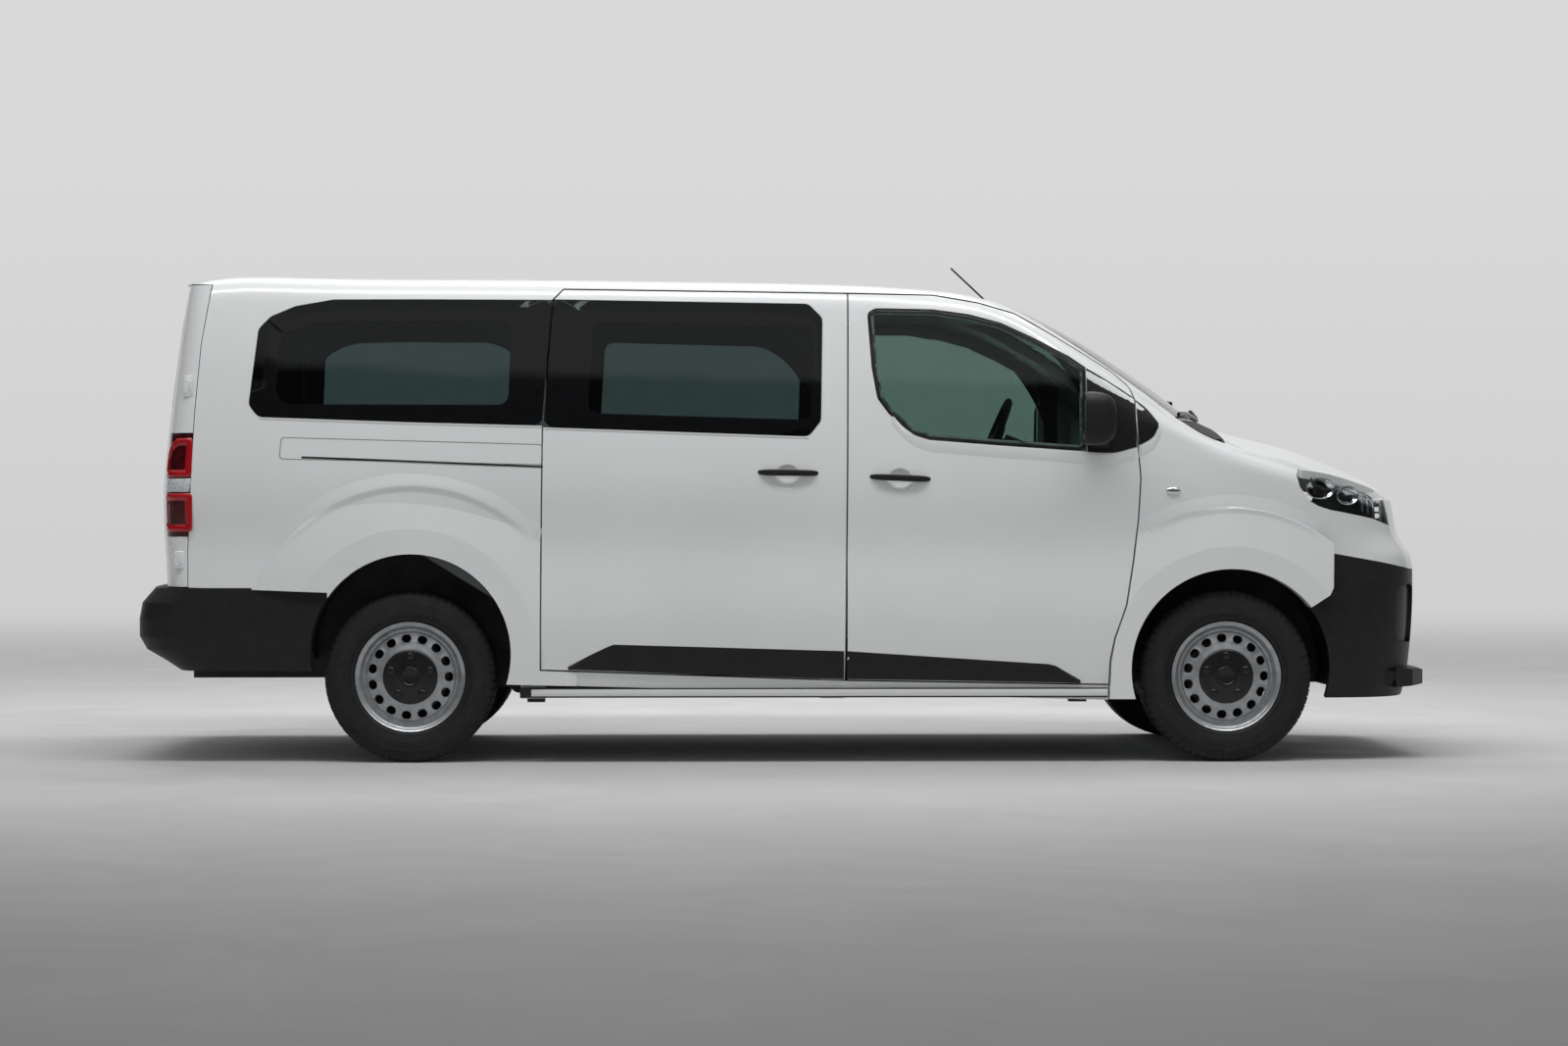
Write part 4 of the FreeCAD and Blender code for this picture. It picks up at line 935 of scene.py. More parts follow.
# %% Mirror shell, foot and glass
for side, sign in SIDES.items():
    middle_y, middle_z = sign * 1.022, 1.376
    sections = []
    for x, half_y, half_z, drop in ((1.187, 0.064, 0.090, 0.0), (1.187, 0.075, 0.102, 0.0),
                                    (1.194, 0.079, 0.107, 0.0), (1.225, 0.080, 0.108, 0.0),
                                    (1.258, 0.077, 0.104, 0.001), (1.286, 0.068, 0.094, 0.002),
                                    (1.305, 0.053, 0.076, 0.003), (1.316, 0.032, 0.048, 0.004),
                                    (1.319, 0.010, 0.015, 0.004)):
        sections.append(oval((x, middle_y, middle_z - drop), Y, Z, half_y, half_z, 3.6))
    sections.insert(0, oval((1.199, middle_y, middle_z), Y, Z, 0.063, 0.089, 3.6))
    shell = loft_mesh("mirror_shell", sections)
    foot = []
    for y, x, z, half_x, half_z in ((0.925, 1.268, 1.270, 0.046, 0.020), (0.945, 1.266, 1.276, 0.042, 0.021),
                                    (0.965, 1.262, 1.285, 0.036, 0.023), (0.985, 1.257, 1.298, 0.034, 0.028),
                                    (1.005, 1.253, 1.312, 0.032, 0.030)):
        foot.append(oval((x, sign * y, z), X, Z, half_x, half_z, 3.0, 24))
    seam = loft_mesh("mirror_trim", [oval((x, middle_y, middle_z - 0.064), Y, Z, y, 0.003, 3.0, 24)
                                     for x, y in ((1.193, 0.0765), (1.225, 0.0798), (1.262, 0.0765),
                                                  (1.292, 0.062))])
    mesh = joined_mesh("mirror_" + side, [(shell, 0), (loft_mesh("mirror_foot", foot), 0), (seam, 1)])
    new_piece("mirror_" + side, mesh, [GRAINED_PLASTIC, SATIN_PLASTIC], "front_door_" + side + "_assembly",
              ("door_mirror_" + side,))
    plate = [oval((x, middle_y, middle_z), Y, Z, 0.062 * k, 0.088 * k, 3.6)
             for x, k in ((1.1985, 0.9), (1.1965, 1.0), (1.1935, 1.0), (1.1925, 0.97))]
    new_piece("mirror_glass_" + side, loft_mesh("mirror_glass", plate), MIRROR_SILVER,
              "front_door_" + side + "_assembly")
print("mirrors on both doors")

# %% [markdown]
# ## Door handles
# A pull handle spans a round hollow in the door skin, so that a gloved hand goes in behind it. Its ends
# flatten out into the skin. The front doors carry one and the sliding door a larger one of the same family.


# %% Pull handles
def pull_handle(name, side, start, end, body, replaced=()):
    """A tapering bar between two points of the side view, on pads at its ends."""
    sign = SIDES[side]
    sections = []
    spans = ((0.0, 0.0055, 0.001), (0.03, 0.0085, 0.006), (0.09, 0.0110, 0.016), (0.18, 0.0122, 0.022),
             (0.35, 0.0128, 0.0255), (0.65, 0.0128, 0.0255), (0.82, 0.0122, 0.022), (0.91, 0.0110, 0.016),
             (0.97, 0.0085, 0.006), (1.0, 0.0055, 0.001))
    tree = SIDE_TREES[side]
    for share, half_z, out in spans:
        u = start[0] + (end[0] - start[0]) * share
        v = start[1] + (end[1] - start[1]) * share
        above = thrown(side, [[(u, v + 0.070)]], tree, [0.0])[0][0]
        below = thrown(side, [[(u, v - 0.075)]], tree, [0.0])[0][0]
        skin_y = (above.y + below.y) / 2
        half_y = 0.0035 + 0.0045 * min(1.0, out / 0.02)
        sections.append(oval((u, skin_y + sign * (out - half_y + 0.002), v), Y, Z, half_y, half_z, 3.0, 24))
    return new_piece(name, loft_mesh(name, sections), GRAINED_PLASTIC, body, replaced)


for side in SIDES:
    pull_handle("front_handle_" + side, side, (0.337, 1.1445), (0.580, 1.1345),
                "front_door_" + side + "_assembly", ("front_door_handle_" + side,))
pull_handle("sliding_door_handle", "right", (-0.111, 1.162), (0.131, 1.158), "body")
print("handles made")

# %% [markdown]
# ## Headlamps
# The CAD lamp is one solid, so its outer face becomes the clear lens here. Behind it sits a dark moulding
# with a teardrop bowl at the back, where the lens narrows, and upright light bars further forward.


# %% Lens, moulding and reflectors
def outer_skin(node, toward, least=0.25):
    """The part of a CAD node that faces away from the van, as a clean mesh."""
    mesh = nodes[node].data
    work = bmesh.new()
    work.from_mesh(mesh)
    bmesh.ops.remove_doubles(work, verts=work.verts, dist=1e-5)
    work.normal_update()
    hidden = [face for face in work.faces if face.normal.dot(toward) < least]
    bmesh.ops.delete(work, geom=hidden, context="FACES")
    bmesh.ops.dissolve_degenerate(work, edges=work.edges, dist=1e-5)
    made = bpy.data.meshes.new(node + "_skin")
    work.to_mesh(made)
    work.free()
    return made


def shelled(name, skin, outer, inner):
    """A shell between two depths behind a skin mesh, closed round its rim."""
    work = bmesh.new()
    work.from_mesh(skin)
    work.normal_update()
    normals = [vertex.normal.copy() for vertex in work.verts]
    work.verts.ensure_lookup_table()
    places = [vertex.co.copy() for vertex in work.verts]
    quads = [tuple(vertex.index for vertex in face.verts) for face in work.faces]
    rim = [(edge.link_loops[0].vert.index, edge.link_loops[0].link_loop_next.vert.index)
           for edge in work.edges if len(edge.link_faces) == 1]
    work.free()
    count = len(places)
    corners = [place - normal * outer for place, normal in zip(places, normals)]
    corners += [place - normal * inner for place, normal in zip(places, normals)]
    faces = list(quads) + [tuple(count + corner for corner in reversed(face)) for face in quads]
    faces += [(b, a, count + a, count + b) for a, b in rim]
    made = bpy.data.meshes.new(name)
    made.from_pydata([tuple(corner) for corner in corners], [], faces)
    return made


def bowl_mesh(name, place, axis, up, wide, tall, deep, rings=8, around=28):
    """An open bowl whose rim faces along `axis`, with a bead round its rim."""
    axis = Vector(axis).normalized()
    second = (Vector(up) - axis * Vector(up).dot(axis)).normalized()
    first = second.cross(axis)
    corners, faces = [], []
    levels = [(1.08, -0.10), (1.08, 0.02), (1.02, 0.03)]
    levels += [(1 - r / rings * 0.97, -(1 - (1 - r / rings * 0.97) ** 2)) for r in range(rings + 1)]
    for share, level in levels:
        for step in range(around):
            turn = 2 * math.pi * step / around
            corners.append(Vector(place) + first * wide * share * math.cos(turn)
                           + second * tall * share * math.sin(turn) + axis * deep * level)
    for r in range(len(levels) - 1):
        for step in range(around):
            a, b = r * around + step, r * around + (step + 1) % around
            faces.append((a, b, b + around, a + around))
    faces.append(tuple((len(levels) - 1) * around + step for step in range(around)))
    return mesh_from(name, corners, faces, closed=False)


def lamp_point(tree, side, x, z, depth):
    """A point behind the lens at a place of the side view, and the lens's outward direction there."""
    place, way = VIEWS[side]
    hit, normal = tree.ray_cast(place(x, z), way)[:2]
    if hit is None:
        hit, normal = tree.find_nearest(place(x, z) + way * 0.7)[:2]
    if normal.dot(way) > 0:
        normal = -normal
    return hit - normal * depth, normal


for side, sign in SIDES.items():
    skin = outer_skin("headlamp_" + side, Vector((0.55, 0.83 * sign, 0.1)))
    lens = shelled("headlamp_lens_" + side, skin, 0.0005, 0.0028)
    new_piece("headlamp_lens_" + side, lens, LENS, "body", ("headlamp_" + side,), sharp=50)
    body_mesh = shelled("headlamp_moulding_" + side, skin, 0.034, 0.038)
    new_piece("headlamp_moulding_" + side, body_mesh, SATIN_PLASTIC, "body", sharp=50)
    tree = joined_tree("headlamp_" + side)
    shine = []
    place, normal = lamp_point(tree, side, 2.165, 1.098, 0.022)
    shine.append((bowl_mesh("bowl", place, normal, Z, 0.055, 0.040, 0.022), 0))
    place, normal = lamp_point(tree, side, 2.275, 1.070, 0.022)
    shine.append((bowl_mesh("bowl", place, normal, Z, 0.042, 0.036, 0.020), 0))
    for x, top, base in ((2.345, 1.086, 1.006), (2.372, 1.076, 1.000), (2.399, 1.064, 0.994)):
        path = []
        for step in range(7):
            place, normal = lamp_point(tree, side, x, base + (top - base) * step / 6, 0.016)
            path.append(place)
        shine.append((tube_mesh("light_bar", path, 0.007, 12, 0.6), 0))
    new_piece("headlamp_bowls_" + side, joined_mesh("headlamp_bowls_" + side, shine), REFLECTOR, "body")
print("headlamps made")

# %% [markdown]
# ## Brake discs
# Through the holes of a steel wheel the brake shows as a dull disc with a rusty edge. It turns with its
# wheel.

# %% Brake discs
DISC_LINE = [(0.030, 0.085), (0.030, 0.140), (0.042, 0.140), (0.042, 0.146), (0.020, 0.146), (0.020, 0.085)]
for end, x, track in AXLES:
    for side, sign in SIDES.items():
        middle = (x, sign * track / 2, TYRE_RADIUS)
        mesh = lathe_mesh("brake_disc", DISC_LINE, 72, middle, mirror=sign > 0)
        new_piece(end + "_brake_disc_" + side, mesh, BRAKE_IRON, end + "_wheel_" + side)
print("brake discs on four wheels")

# %% [markdown]
# ## Things that repeat
# Tread blocks and wheel bolts are one small thing many times over. Geometry Nodes place them:
# a row of points takes one instance each, every instance is turned a little further about the Y axis or
# moved a little further along a line, and the tree ends by making them real and giving them a finish.


# %% One tree for rings and rows
def make_repeat_tree():
    """Count copies of Thing, each one Turn further about Y and one Step further along."""
    tree = bpy.data.node_groups.new("repeat", "GeometryNodeTree")
    sockets = {}
    tree.interface.new_socket("Geometry", in_out="OUTPUT", socket_type="NodeSocketGeometry")
    for label, kind in (("Thing", "Object"), ("Count", "Int"), ("Turn", "Float"), ("Step", "Vector"),
                        ("Finish", "Material")):
        sockets[label] = tree.interface.new_socket(label, in_out="INPUT", socket_type="NodeSocket" + kind)
    given = tree.nodes.new("NodeGroupInput").outputs
    index = add(tree, "GeometryNodeInputIndex").outputs["Index"]
    place = add(tree, "ShaderNodeVectorMath", {0: given["Step"], "Scale": index}, operation="SCALE")
    points = add(tree, "GeometryNodePoints", {"Count": given["Count"], "Position": place.outputs["Vector"]})
    angle = add(tree, "ShaderNodeMath", {0: given["Turn"], 1: index}, operation="MULTIPLY")
    turned = add(tree, "ShaderNodeCombineXYZ", {"Y": angle.outputs["Value"]})
    thing = add(tree, "GeometryNodeObjectInfo", {"Object": given["Thing"], "As Instance": True})
    copies = add(tree, "GeometryNodeInstanceOnPoints", {
        "Points": points.outputs["Points"], "Instance": thing.outputs["Geometry"],
        "Rotation": turned.outputs["Vector"]})
    real = add(tree, "GeometryNodeRealizeInstances", {"Geometry": copies.outputs["Instances"]})
    finished = add(tree, "GeometryNodeSetMaterial", {"Geometry": real.outputs["Geometry"],
                                                     "Material": given["Finish"]})
    out = tree.nodes.new("NodeGroupOutput")
    tree.links.new(finished.outputs["Geometry"], out.inputs["Geometry"])
    return tree, {label: socket.identifier for label, socket in sockets.items()}


REPEAT, REPEAT_INPUTS = make_repeat_tree()


def repeated(mesh, count, finish, turn=0.0, step=(0.0, 0.0, 0.0)):
    """A plain mesh with `count` copies of a small mesh."""
    thing = bpy.data.objects.new("one_thing", mesh)
    host = bpy.data.objects.new("many_things", bpy.data.meshes.new("many_things"))
    for made in (thing, host):
        bpy.context.scene.collection.objects.link(made)
    modifier = host.modifiers.new("repeat", "NODES")
    modifier.node_group = REPEAT
    for label, value in (("Thing", thing), ("Count", count), ("Turn", turn), ("Step", step),
                         ("Finish", finish)):
        modifier[REPEAT_INPUTS[label]] = value
    bpy.context.view_layer.update()
    result = bpy.data.meshes.new_from_object(host.evaluated_get(bpy.context.evaluated_depsgraph_get()))
    for made in (thing, host):
        bpy.data.objects.remove(made)
    return result


def block_mesh(name, rows):
    """A block between two closed sections, each a list of (x, y, z)."""
    return loft_mesh(name, [[Vector(corner) for corner in row] for row in rows])


def round_bead(place, axis, radius, height, rings=4, around=16):
    """A low dome with a flat back, its top towards `axis`."""
    axis = Vector(axis).normalized()
    first = axis.orthogonal().normalized()
    second = axis.cross(first)
    sections = [oval(Vector(place) - axis * 0.002, first, second, radius, radius, 2.0, around)]
    for ring in range(rings):
        turn = math.pi / 2 * ring / rings
        sections.append(oval(Vector(place) + axis * height * math.sin(turn), first, second,
                             radius * math.cos(turn), radius * math.cos(turn), 2.0, around))
    return loft_mesh("bead", sections)


print("repeating tree with inputs", list(REPEAT_INPUTS))

# %% [markdown]
# ## Tyres
# The sidewall bulges past the rim, carries two thin raised rings, and turns over a shoulder into the tread.
# The carcass is a lathe profile. The tread on it is five rings of blocks: two rows that lap over the
# shoulders, and three rows of slanted blocks between them with grooves on both sides.

# %% Carcass and tread blocks
TREAD_BLOCKS = 64
SIDEWALL = [(-0.0805, 0.2088), (-0.0812, 0.2180), (-0.0880, 0.2232), (-0.0960, 0.2256), (-0.1000, 0.2300),
            (-0.1012, 0.2346), (-0.0998, 0.2368), (-0.1022, 0.2420), (-0.1052, 0.2520), (-0.1064, 0.2590),
            (-0.1073, 0.2598), (-0.1073, 0.2616), (-0.1067, 0.2624), (-0.1071, 0.2720), (-0.1066, 0.2830),
            (-0.1054, 0.2930), (-0.1060, 0.2938), (-0.1056, 0.2962), (-0.1046, 0.2968), (-0.1024, 0.3070),
            (-0.0988, 0.3160), (-0.0930, 0.3250), (-0.0850, 0.3320), (-0.0760, 0.3350), (-0.0560, 0.3352)]
profile = SIDEWALL + [(-along, radius) for along, radius in reversed(SIDEWALL)]
carcass = lathe_mesh("carcass", profile, 96, (0, 0, 0))

half = math.pi * TYRE_RADIUS / TREAD_BLOCKS - 0.0022
lug = [(-0.0575, 0.3330), (-0.0575, 0.3424), (-0.0740, 0.3421), (-0.0850, 0.3386), (-0.0940, 0.3296),
       (-0.1000, 0.3190), (-0.1030, 0.3085), (-0.0985, 0.3120), (-0.0900, 0.3240), (-0.0760, 0.3325)]
treads = []
for flip in (1, -1):
    rows = [[(x, flip * y, z) for y, z in lug] for x in (-half, half)]
    treads.append(repeated(block_mesh("lug", rows), TREAD_BLOCKS, TYRE_RUBBER, 2 * math.pi / TREAD_BLOCKS))
for middle, lean in ((-0.0365, 0.5), (0.0, -0.5), (0.0365, 0.5)):
    rows = []
    for x in (-half, half):
        rows.append([(x + lean * (y - middle), y, z) for y, z in
                     ((middle - 0.0145, 0.3330), (middle - 0.0145, 0.3420), (middle - 0.0130, 0.3425),
                      (middle + 0.0130, 0.3425), (middle + 0.0145, 0.3420), (middle + 0.0145, 0.3330))])
    treads.append(repeated(block_mesh("rib_block", rows), TREAD_BLOCKS, TYRE_RUBBER,
                           2 * math.pi / TREAD_BLOCKS))
serration = block_mesh("serration", [[(x, y, z) for y, z in ((-0.1000, 0.2385), (-0.1036, 0.2400),
                                                            (-0.1058, 0.2495), (-0.1020, 0.2490))]
                                     for x in (-0.0011, 0.0011)])
treads.append(repeated(serration, 180, TYRE_RUBBER, 2 * math.pi / 180))
TYRE_MESH = joined_mesh("tyre", [(mesh, 0) for mesh in [carcass] + treads])
print("one tyre has", len(TYRE_MESH.polygons), "faces")

# %% [markdown]
# ## Steel rims
# A steel wheel is a pressed disc welded into a rolled rim. The disc slopes outwards from its middle and
# carries fifteen punched holes with rolled lips. Each hole has its own sector of the disc: rings of points
# go from the round hole to the sector's edge, and neighbouring sectors share that edge.

# %% Pressed disc, rolled rim and cap
RIM_HOLES = 15
BAND_MIDDLE, BAND_HALF = 0.1540, 0.0215
HOLE_TALL, HOLE_WIDE = 0.0170, 0.0188
HOLE_POINTS = 24
DISC_DEPTHS = [(0.000, -0.0875), (0.108, -0.0875), (0.113, -0.0866), (0.122, -0.0830), (0.1325, -0.0803),
               (0.142, -0.0780), (0.1755, -0.0668), (0.1775, -0.0640), (0.1795, -0.0590), (0.183, -0.0570),
               (0.187, -0.0572), (0.1915, -0.0600)]


def disc_depth(radius):
    """How far out the disc's face stands at a radius."""
    for (r0, y0), (r1, y1) in zip(DISC_DEPTHS, DISC_DEPTHS[1:]):
        if radius <= r1:
            return y0 + (y1 - y0) * (radius - r0) / (r1 - r0)
    return DISC_DEPTHS[-1][1]


def disc_point(radius, angle, push=0.0):
    """A point of the disc's face, pushed inwards along the axle."""
    return Vector((radius * math.cos(angle), disc_depth(radius) + push, radius * math.sin(angle)))


def make_disc():
    """The pressed disc with its punched holes, as a thin shell."""
    corners, faces, columns = [], [], []
    half_sector = math.pi / RIM_HOLES
    for sector in range(RIM_HOLES):
        middle = 2 * math.pi * sector / RIM_HOLES
        hole, border = [], []
        for k in range(HOLE_POINTS):
            c, s = math.cos(2 * math.pi * k / HOLE_POINTS), math.sin(2 * math.pi * k / HOLE_POINTS)
            big = max(abs(c), abs(s))
            hole.append((BAND_MIDDLE + HOLE_TALL * s, middle + HOLE_WIDE * c / BAND_MIDDLE))
            border.append((BAND_MIDDLE + BAND_HALF * s / big, middle + half_sector * c / big))
            if s > big - 1e-9 and c > -big + 1e-9:
                columns.append(middle + half_sector * c / big)
        start = len(corners)
        levels = ((0, 0.0060), (0, 0.0012), (0.10, -0.0012), (0.26, -0.0010), (0.5, 0.0), (1, 0.0))
        for share, push in levels:
            for (r0, a0), (r1, a1) in zip(hole, border):
                corners.append(disc_point(r0 + (r1 - r0) * share, a0 + (a1 - a0) * share, push))
        for level in range(len(levels) - 1):
            for k in range(HOLE_POINTS):
                a, b = start + level * HOLE_POINTS + k, start + level * HOLE_POINTS + (k + 1) % HOLE_POINTS
                faces.append((a, b, b + HOLE_POINTS, a + HOLE_POINTS))
    columns = sorted({round(angle % (2 * math.pi), 9) for angle in columns})
    for radii in ((0.040, 0.100, 0.108, 0.113, 0.122, 0.1325),
                  (0.1755, 0.1775, 0.1795, 0.183, 0.187, 0.1915)):
        start, wide = len(corners), len(columns)
        corners += [disc_point(radius, angle) for radius in radii for angle in columns]
        for r in range(len(radii) - 1):
            for c in range(wide):
                a, b = start + r * wide + c, start + r * wide + (c + 1) % wide
                faces.append((a, b, b + wide, a + wide))
    mesh = mesh_from("disc_face", corners, faces, closed=True)
    if sum(face.normal.y * face.area for face in mesh.polygons) > 0:
        mesh.flip_normals()
    return shelled("disc", mesh, 0.0, 0.0034)


ROLLED_RIM = [(-0.0560, 0.1895), (-0.0640, 0.1925), (-0.0700, 0.1985), (-0.0815, 0.2020), (-0.0850, 0.2050),
              (-0.0868, 0.2110), (-0.0885, 0.2155), (-0.0918, 0.2185), (-0.0925, 0.2203), (-0.0905, 0.2204),
              (-0.0860, 0.2178), (-0.0838, 0.2120), (-0.0822, 0.2078), (-0.0700, 0.2045), (-0.0655, 0.2000),
              (-0.0560, 0.1960), (0.0500, 0.1960), (0.0700, 0.2030), (0.0800, 0.2078), (0.0838, 0.2120),
              (0.0860, 0.2178), (0.0905, 0.2204), (0.0925, 0.2203), (0.0918, 0.2185), (0.0868, 0.2110),
              (0.0815, 0.2020), (0.0700, 0.1985), (0.0500, 0.1925), (-0.0400, 0.1925)]
valve = tube_mesh("valve", [Vector((0.1845 * math.cos(2.1), y, 0.1845 * math.sin(2.1)))
                            for y in (-0.052, -0.060, -0.072, -0.078, -0.0785)], 0.0042, 12)
RIM_MESH = joined_mesh("rim", [(make_disc(), 0), (lathe_mesh("barrel", ROLLED_RIM, 96, (0, 0, 0)), 0),
                               (valve, 1)])
CAP_LINE = [(-0.0880, 0.0), (-0.0880, 0.1095), (-0.0895, 0.1100), (-0.0930, 0.1088), (-0.0962, 0.1050),
            (-0.0972, 0.1000), (-0.0972, 0.0650), (-0.0978, 0.0600), (-0.0992, 0.0560), (-0.0996, 0.0400),
            (-0.1012, 0.0380), (-0.1040, 0.0365), (-0.1044, 0.0345), (-0.1040, 0.0320), (-0.1020, 0.0300),
            (-0.1012, 0.0270), (-0.1016, 0.0)]
bolt_head = round_bead((0.0, -0.0972, 0.0825), (0, -1, 0), 0.0165, 0.0062, 5, 20)
CAP_MESH = joined_mesh("cap", [(lathe_mesh("cap_plate", CAP_LINE, 72, (0, 0, 0)), 0),
                               (repeated(bolt_head, 5, SATIN_PLASTIC, 2 * math.pi / 5), 0)])
print("rim and cap have", len(RIM_MESH.polygons), "and", len(CAP_MESH.polygons), "faces")

# %% [markdown]
# ## Four wheels
# One wheel has been made about the origin with its outer side towards -Y. The other side's wheels are the
# same wheel turned half round, and each takes its place in its mesh. A sheet-steel shield behind the brake
# disc closes the view through the holes.

# %% Place the wheels
SHIELD_LINE = [(0.048, 0.050), (0.048, 0.186), (0.056, 0.188), (0.056, 0.186), (0.051, 0.184), (0.051, 0.050)]
WHEEL_PARTS = (("tyre", TYRE_MESH, TYRE_RUBBER), ("rim", RIM_MESH, [SILVER_PAINT, SATIN_PLASTIC]),
               ("hub_cap", CAP_MESH, SATIN_PLASTIC))
for end, x, track in AXLES:
    for side, sign in SIDES.items():
        middle = Vector((x, sign * track / 2, TYRE_RADIUS))
        turned = Matrix.Rotation(math.pi if sign > 0 else 0.0, 4, "Z")
        place = Matrix.Translation(middle) @ turned
        wheel = end + "_wheel_" + side
        for what, mesh, finishes in WHEEL_PARTS:
            copy = mesh.copy()
            copy.transform(place)
            new_piece(end + "_" + what + "_dressed_" + side, copy, finishes, wheel,
                      (end + "_" + what + "_" + side,), sharp=34)
        shield = lathe_mesh("shield", SHIELD_LINE, 72, middle, mirror=sign > 0)
        new_piece(end + "_brake_shield_" + side, shield, DIPPED_STEEL,
                  "front_hub_" + side if end == "front" else "body")
print("four wheels dressed")

# %% [markdown]
# ## Tail lamps
# The lamp wraps round the corner of the van, so its parts are drawn on a cylinder about an upright axis
# inside the corner. The two red halves have a swollen rim round a darker middle, with a clear window for the
# reversing lamp between them.

# %% Lamp halves and window
CORNER = Vector((-2.360, -0.830, 0.0))
CORNER_REACH = 0.5
# Metres of the drawing for one radian round the corner
ARC = 0.1


def corner_view(sign):
    """Flat points (arc length, height) round the rear corner."""
    def place(u, v):
        return Vector((CORNER.x + CORNER_REACH * math.cos(u / ARC),
                       -sign * (CORNER.y + CORNER_REACH * math.sin(u / ARC)), v))

    def way(u, v):
        return Vector((-math.cos(u / ARC), sign * math.sin(u / ARC), 0.0))
    return place, way


# The rim of each half: how far inside its outline, the corner radius, and the height over the lens
LAMP_RIM = ((0.0, 0.016, 0.0008), (0.003, 0.015, 0.0048), (0.010, 0.013, 0.0066), (0.018, 0.012, 0.0060),
            (0.024, 0.010, 0.0034), (0.030, 0.008, 0.0006))
WINDOW_SWELL = [0.0008, 0.0036, 0.0046, 0.0048, 0.0046, 0.0036, 0.0008]
UPPER_HALF = [(-0.163, 1.300), (-0.163, 1.142), (-0.303, 1.142), (-0.300, 1.226), (-0.270, 1.276),
              (-0.236, 1.298)]
LOWER_HALF = [(-0.163, 1.078), (-0.163, 0.924), (-0.300, 0.924), (-0.305, 0.960), (-0.303, 1.078)]
for side, sign in SIDES.items():
    VIEWS["corner_" + side] = corner_view(sign)
    tree = joined_tree("tail_lamp_" + side)
    for name, outer in (("upper", UPPER_HALF), ("lower", LOWER_HALF)):
        outlines = [soft_outline(inset(outer, amount), radius) for amount, radius, lift in LAMP_RIM]
        lifts = [lift for amount, radius, lift in LAMP_RIM]
        mesh = sheet_mesh("lamp", "corner_" + side, outlines, tree, lifts, 0.003, ring=True)
        new_piece("tail_lamp_" + name + "_rim_" + side, mesh, RED_ACRYLIC, "body", sharp=60)
    rows = between([(-0.163, 1.137), (-0.303, 1.137)], [(-0.163, 1.083), (-0.303, 1.083)], 7, 20)
    mesh = sheet_mesh("window", "corner_" + side, rows, tree, WINDOW_SWELL, 0.002)
    new_piece("reversing_window_" + side, mesh, FROSTED_CLEAR, "body", sharp=60)
    bars = []
    for low, high in ((1.172, 1.262), (0.954, 1.048)):
        for u in (-0.205, -0.222, -0.239, -0.256):
            grid = [[(u - 0.003, z), (u, z), (u + 0.003, z)] for z in (low, (low + high) / 2, high)]
            bars.append((sheet_mesh("bar", "corner_" + side, grid, tree, 0.0022, 0.002), 0))
    new_piece("tail_lamp_ribs_" + side, joined_mesh("ribs", bars), DEEP_RED, "body")
print("tail lamps made")

# %% [markdown]
# ## Rear door hinges and rail cover
# Each rear door hangs on two pressed steel hinges at its outer edge. Along the side behind the sliding
# door, a long flat cover hides the middle slide rail, and the slot under it is where the door's arm runs.

# %% Hinges
# Each hinge: its x, z and half height. Each step of a leaf: height off the door, half width, share of height
HINGES = ((-2.385, 1.505, 0.043), (-2.420, 0.812, 0.036))
HINGE_LEAF = ((-0.010, 0.020, 0.94), (0.006, 0.0215, 1.0), (0.0105, 0.0205, 0.98), (0.0120, 0.0180, 0.93))
for side, sign in SIDES.items():
    tree = joined_tree("rear_door_" + side, "side_panel_" + side)
    parts, nuts = [], []
    for x, z, half_z in HINGES:
        place, way = VIEWS[side]
        skin = tree.ray_cast(place(x, z), way)[0].y
        leaf = [oval((x, skin + sign * out, z), X, Z, half_x, half_z * tall, 6.0)
                for out, half_x, tall in HINGE_LEAF]
        parts.append((loft_mesh("leaf", leaf), 0))
        knuckle = [oval((x + 0.0085, skin + sign * out, z), X, Z, 0.0065 * share, half_z * 0.45 * share, 5.0,
                        20) for out, share in ((0.006, 1.0), (0.0135, 1.0), (0.0142, 0.86))]
        parts.append((loft_mesh("knuckle", knuckle), 1))
        for dz in (-0.5, 0.5):
            nuts.append((round_bead((x - 0.010, skin + sign * 0.012, z + half_z * dz), (0, sign, 0), 0.0036,
                                    0.0026, 3, 12), 0))
    new_piece("rear_door_hinges_" + side, joined_mesh("hinges", parts + nuts), [WHITE_ENAMEL, SATIN_PLASTIC],
              "rear_door_" + side + "_assembly")
print("hinges on both rear doors")

# %% Slide-rail cover
RAIL_COVER = mm((-2013, 1302), (-969, 1274), (-969, 1190), (-2020, 1213))
RAIL_SLOT_TOP = mm((-1930, 1225), (-969, 1190))
RAIL_SLOT_BASE = mm((-1930, 1217), (-969, 1181))

# The slot's opening is a flat black sheet of painted shade laid on the skin.
strip("rail_slot_liner", "right", RAIL_SLOT_TOP, RAIL_SLOT_BASE, 0.0006, 0.004, GRAINED_PLASTIC, "body",
      40, 3)
# The cover's outline is a thin grey bead of painted shade along its shut line.
outer = soft_outline(RAIL_COVER, 0.018, 5, 24)
inner = soft_outline(inset(RAIL_COVER, 0.0035), 0.016, 5, 24)
middle = soft_outline(inset(RAIL_COVER, 0.0017), 0.017, 5, 24)
mesh = sheet_mesh("rail_cover_seam", "right", [outer, middle, inner], SIDE_TREES["right"],
                  [0.0003, 0.0010, 0.0003], 0.001, ring=True)
new_piece("rail_cover_seam", mesh, SEAM_SHADE, "body")
print("rail cover outlined")

# %% [markdown]
# ## Seats
# Each place has a cushion, a backrest and a headrest. A foam pad under a sewn cover is crowned, and its
# sides pull in between the corners, so each pad starts as a slightly small rounded block and is blown up as
# cloth. The cap keeps it inside the space that the CAD seat holds. The sewn channels come after that: the
# seams between the middle panel and the bolsters, and a few across, press into the swollen form.

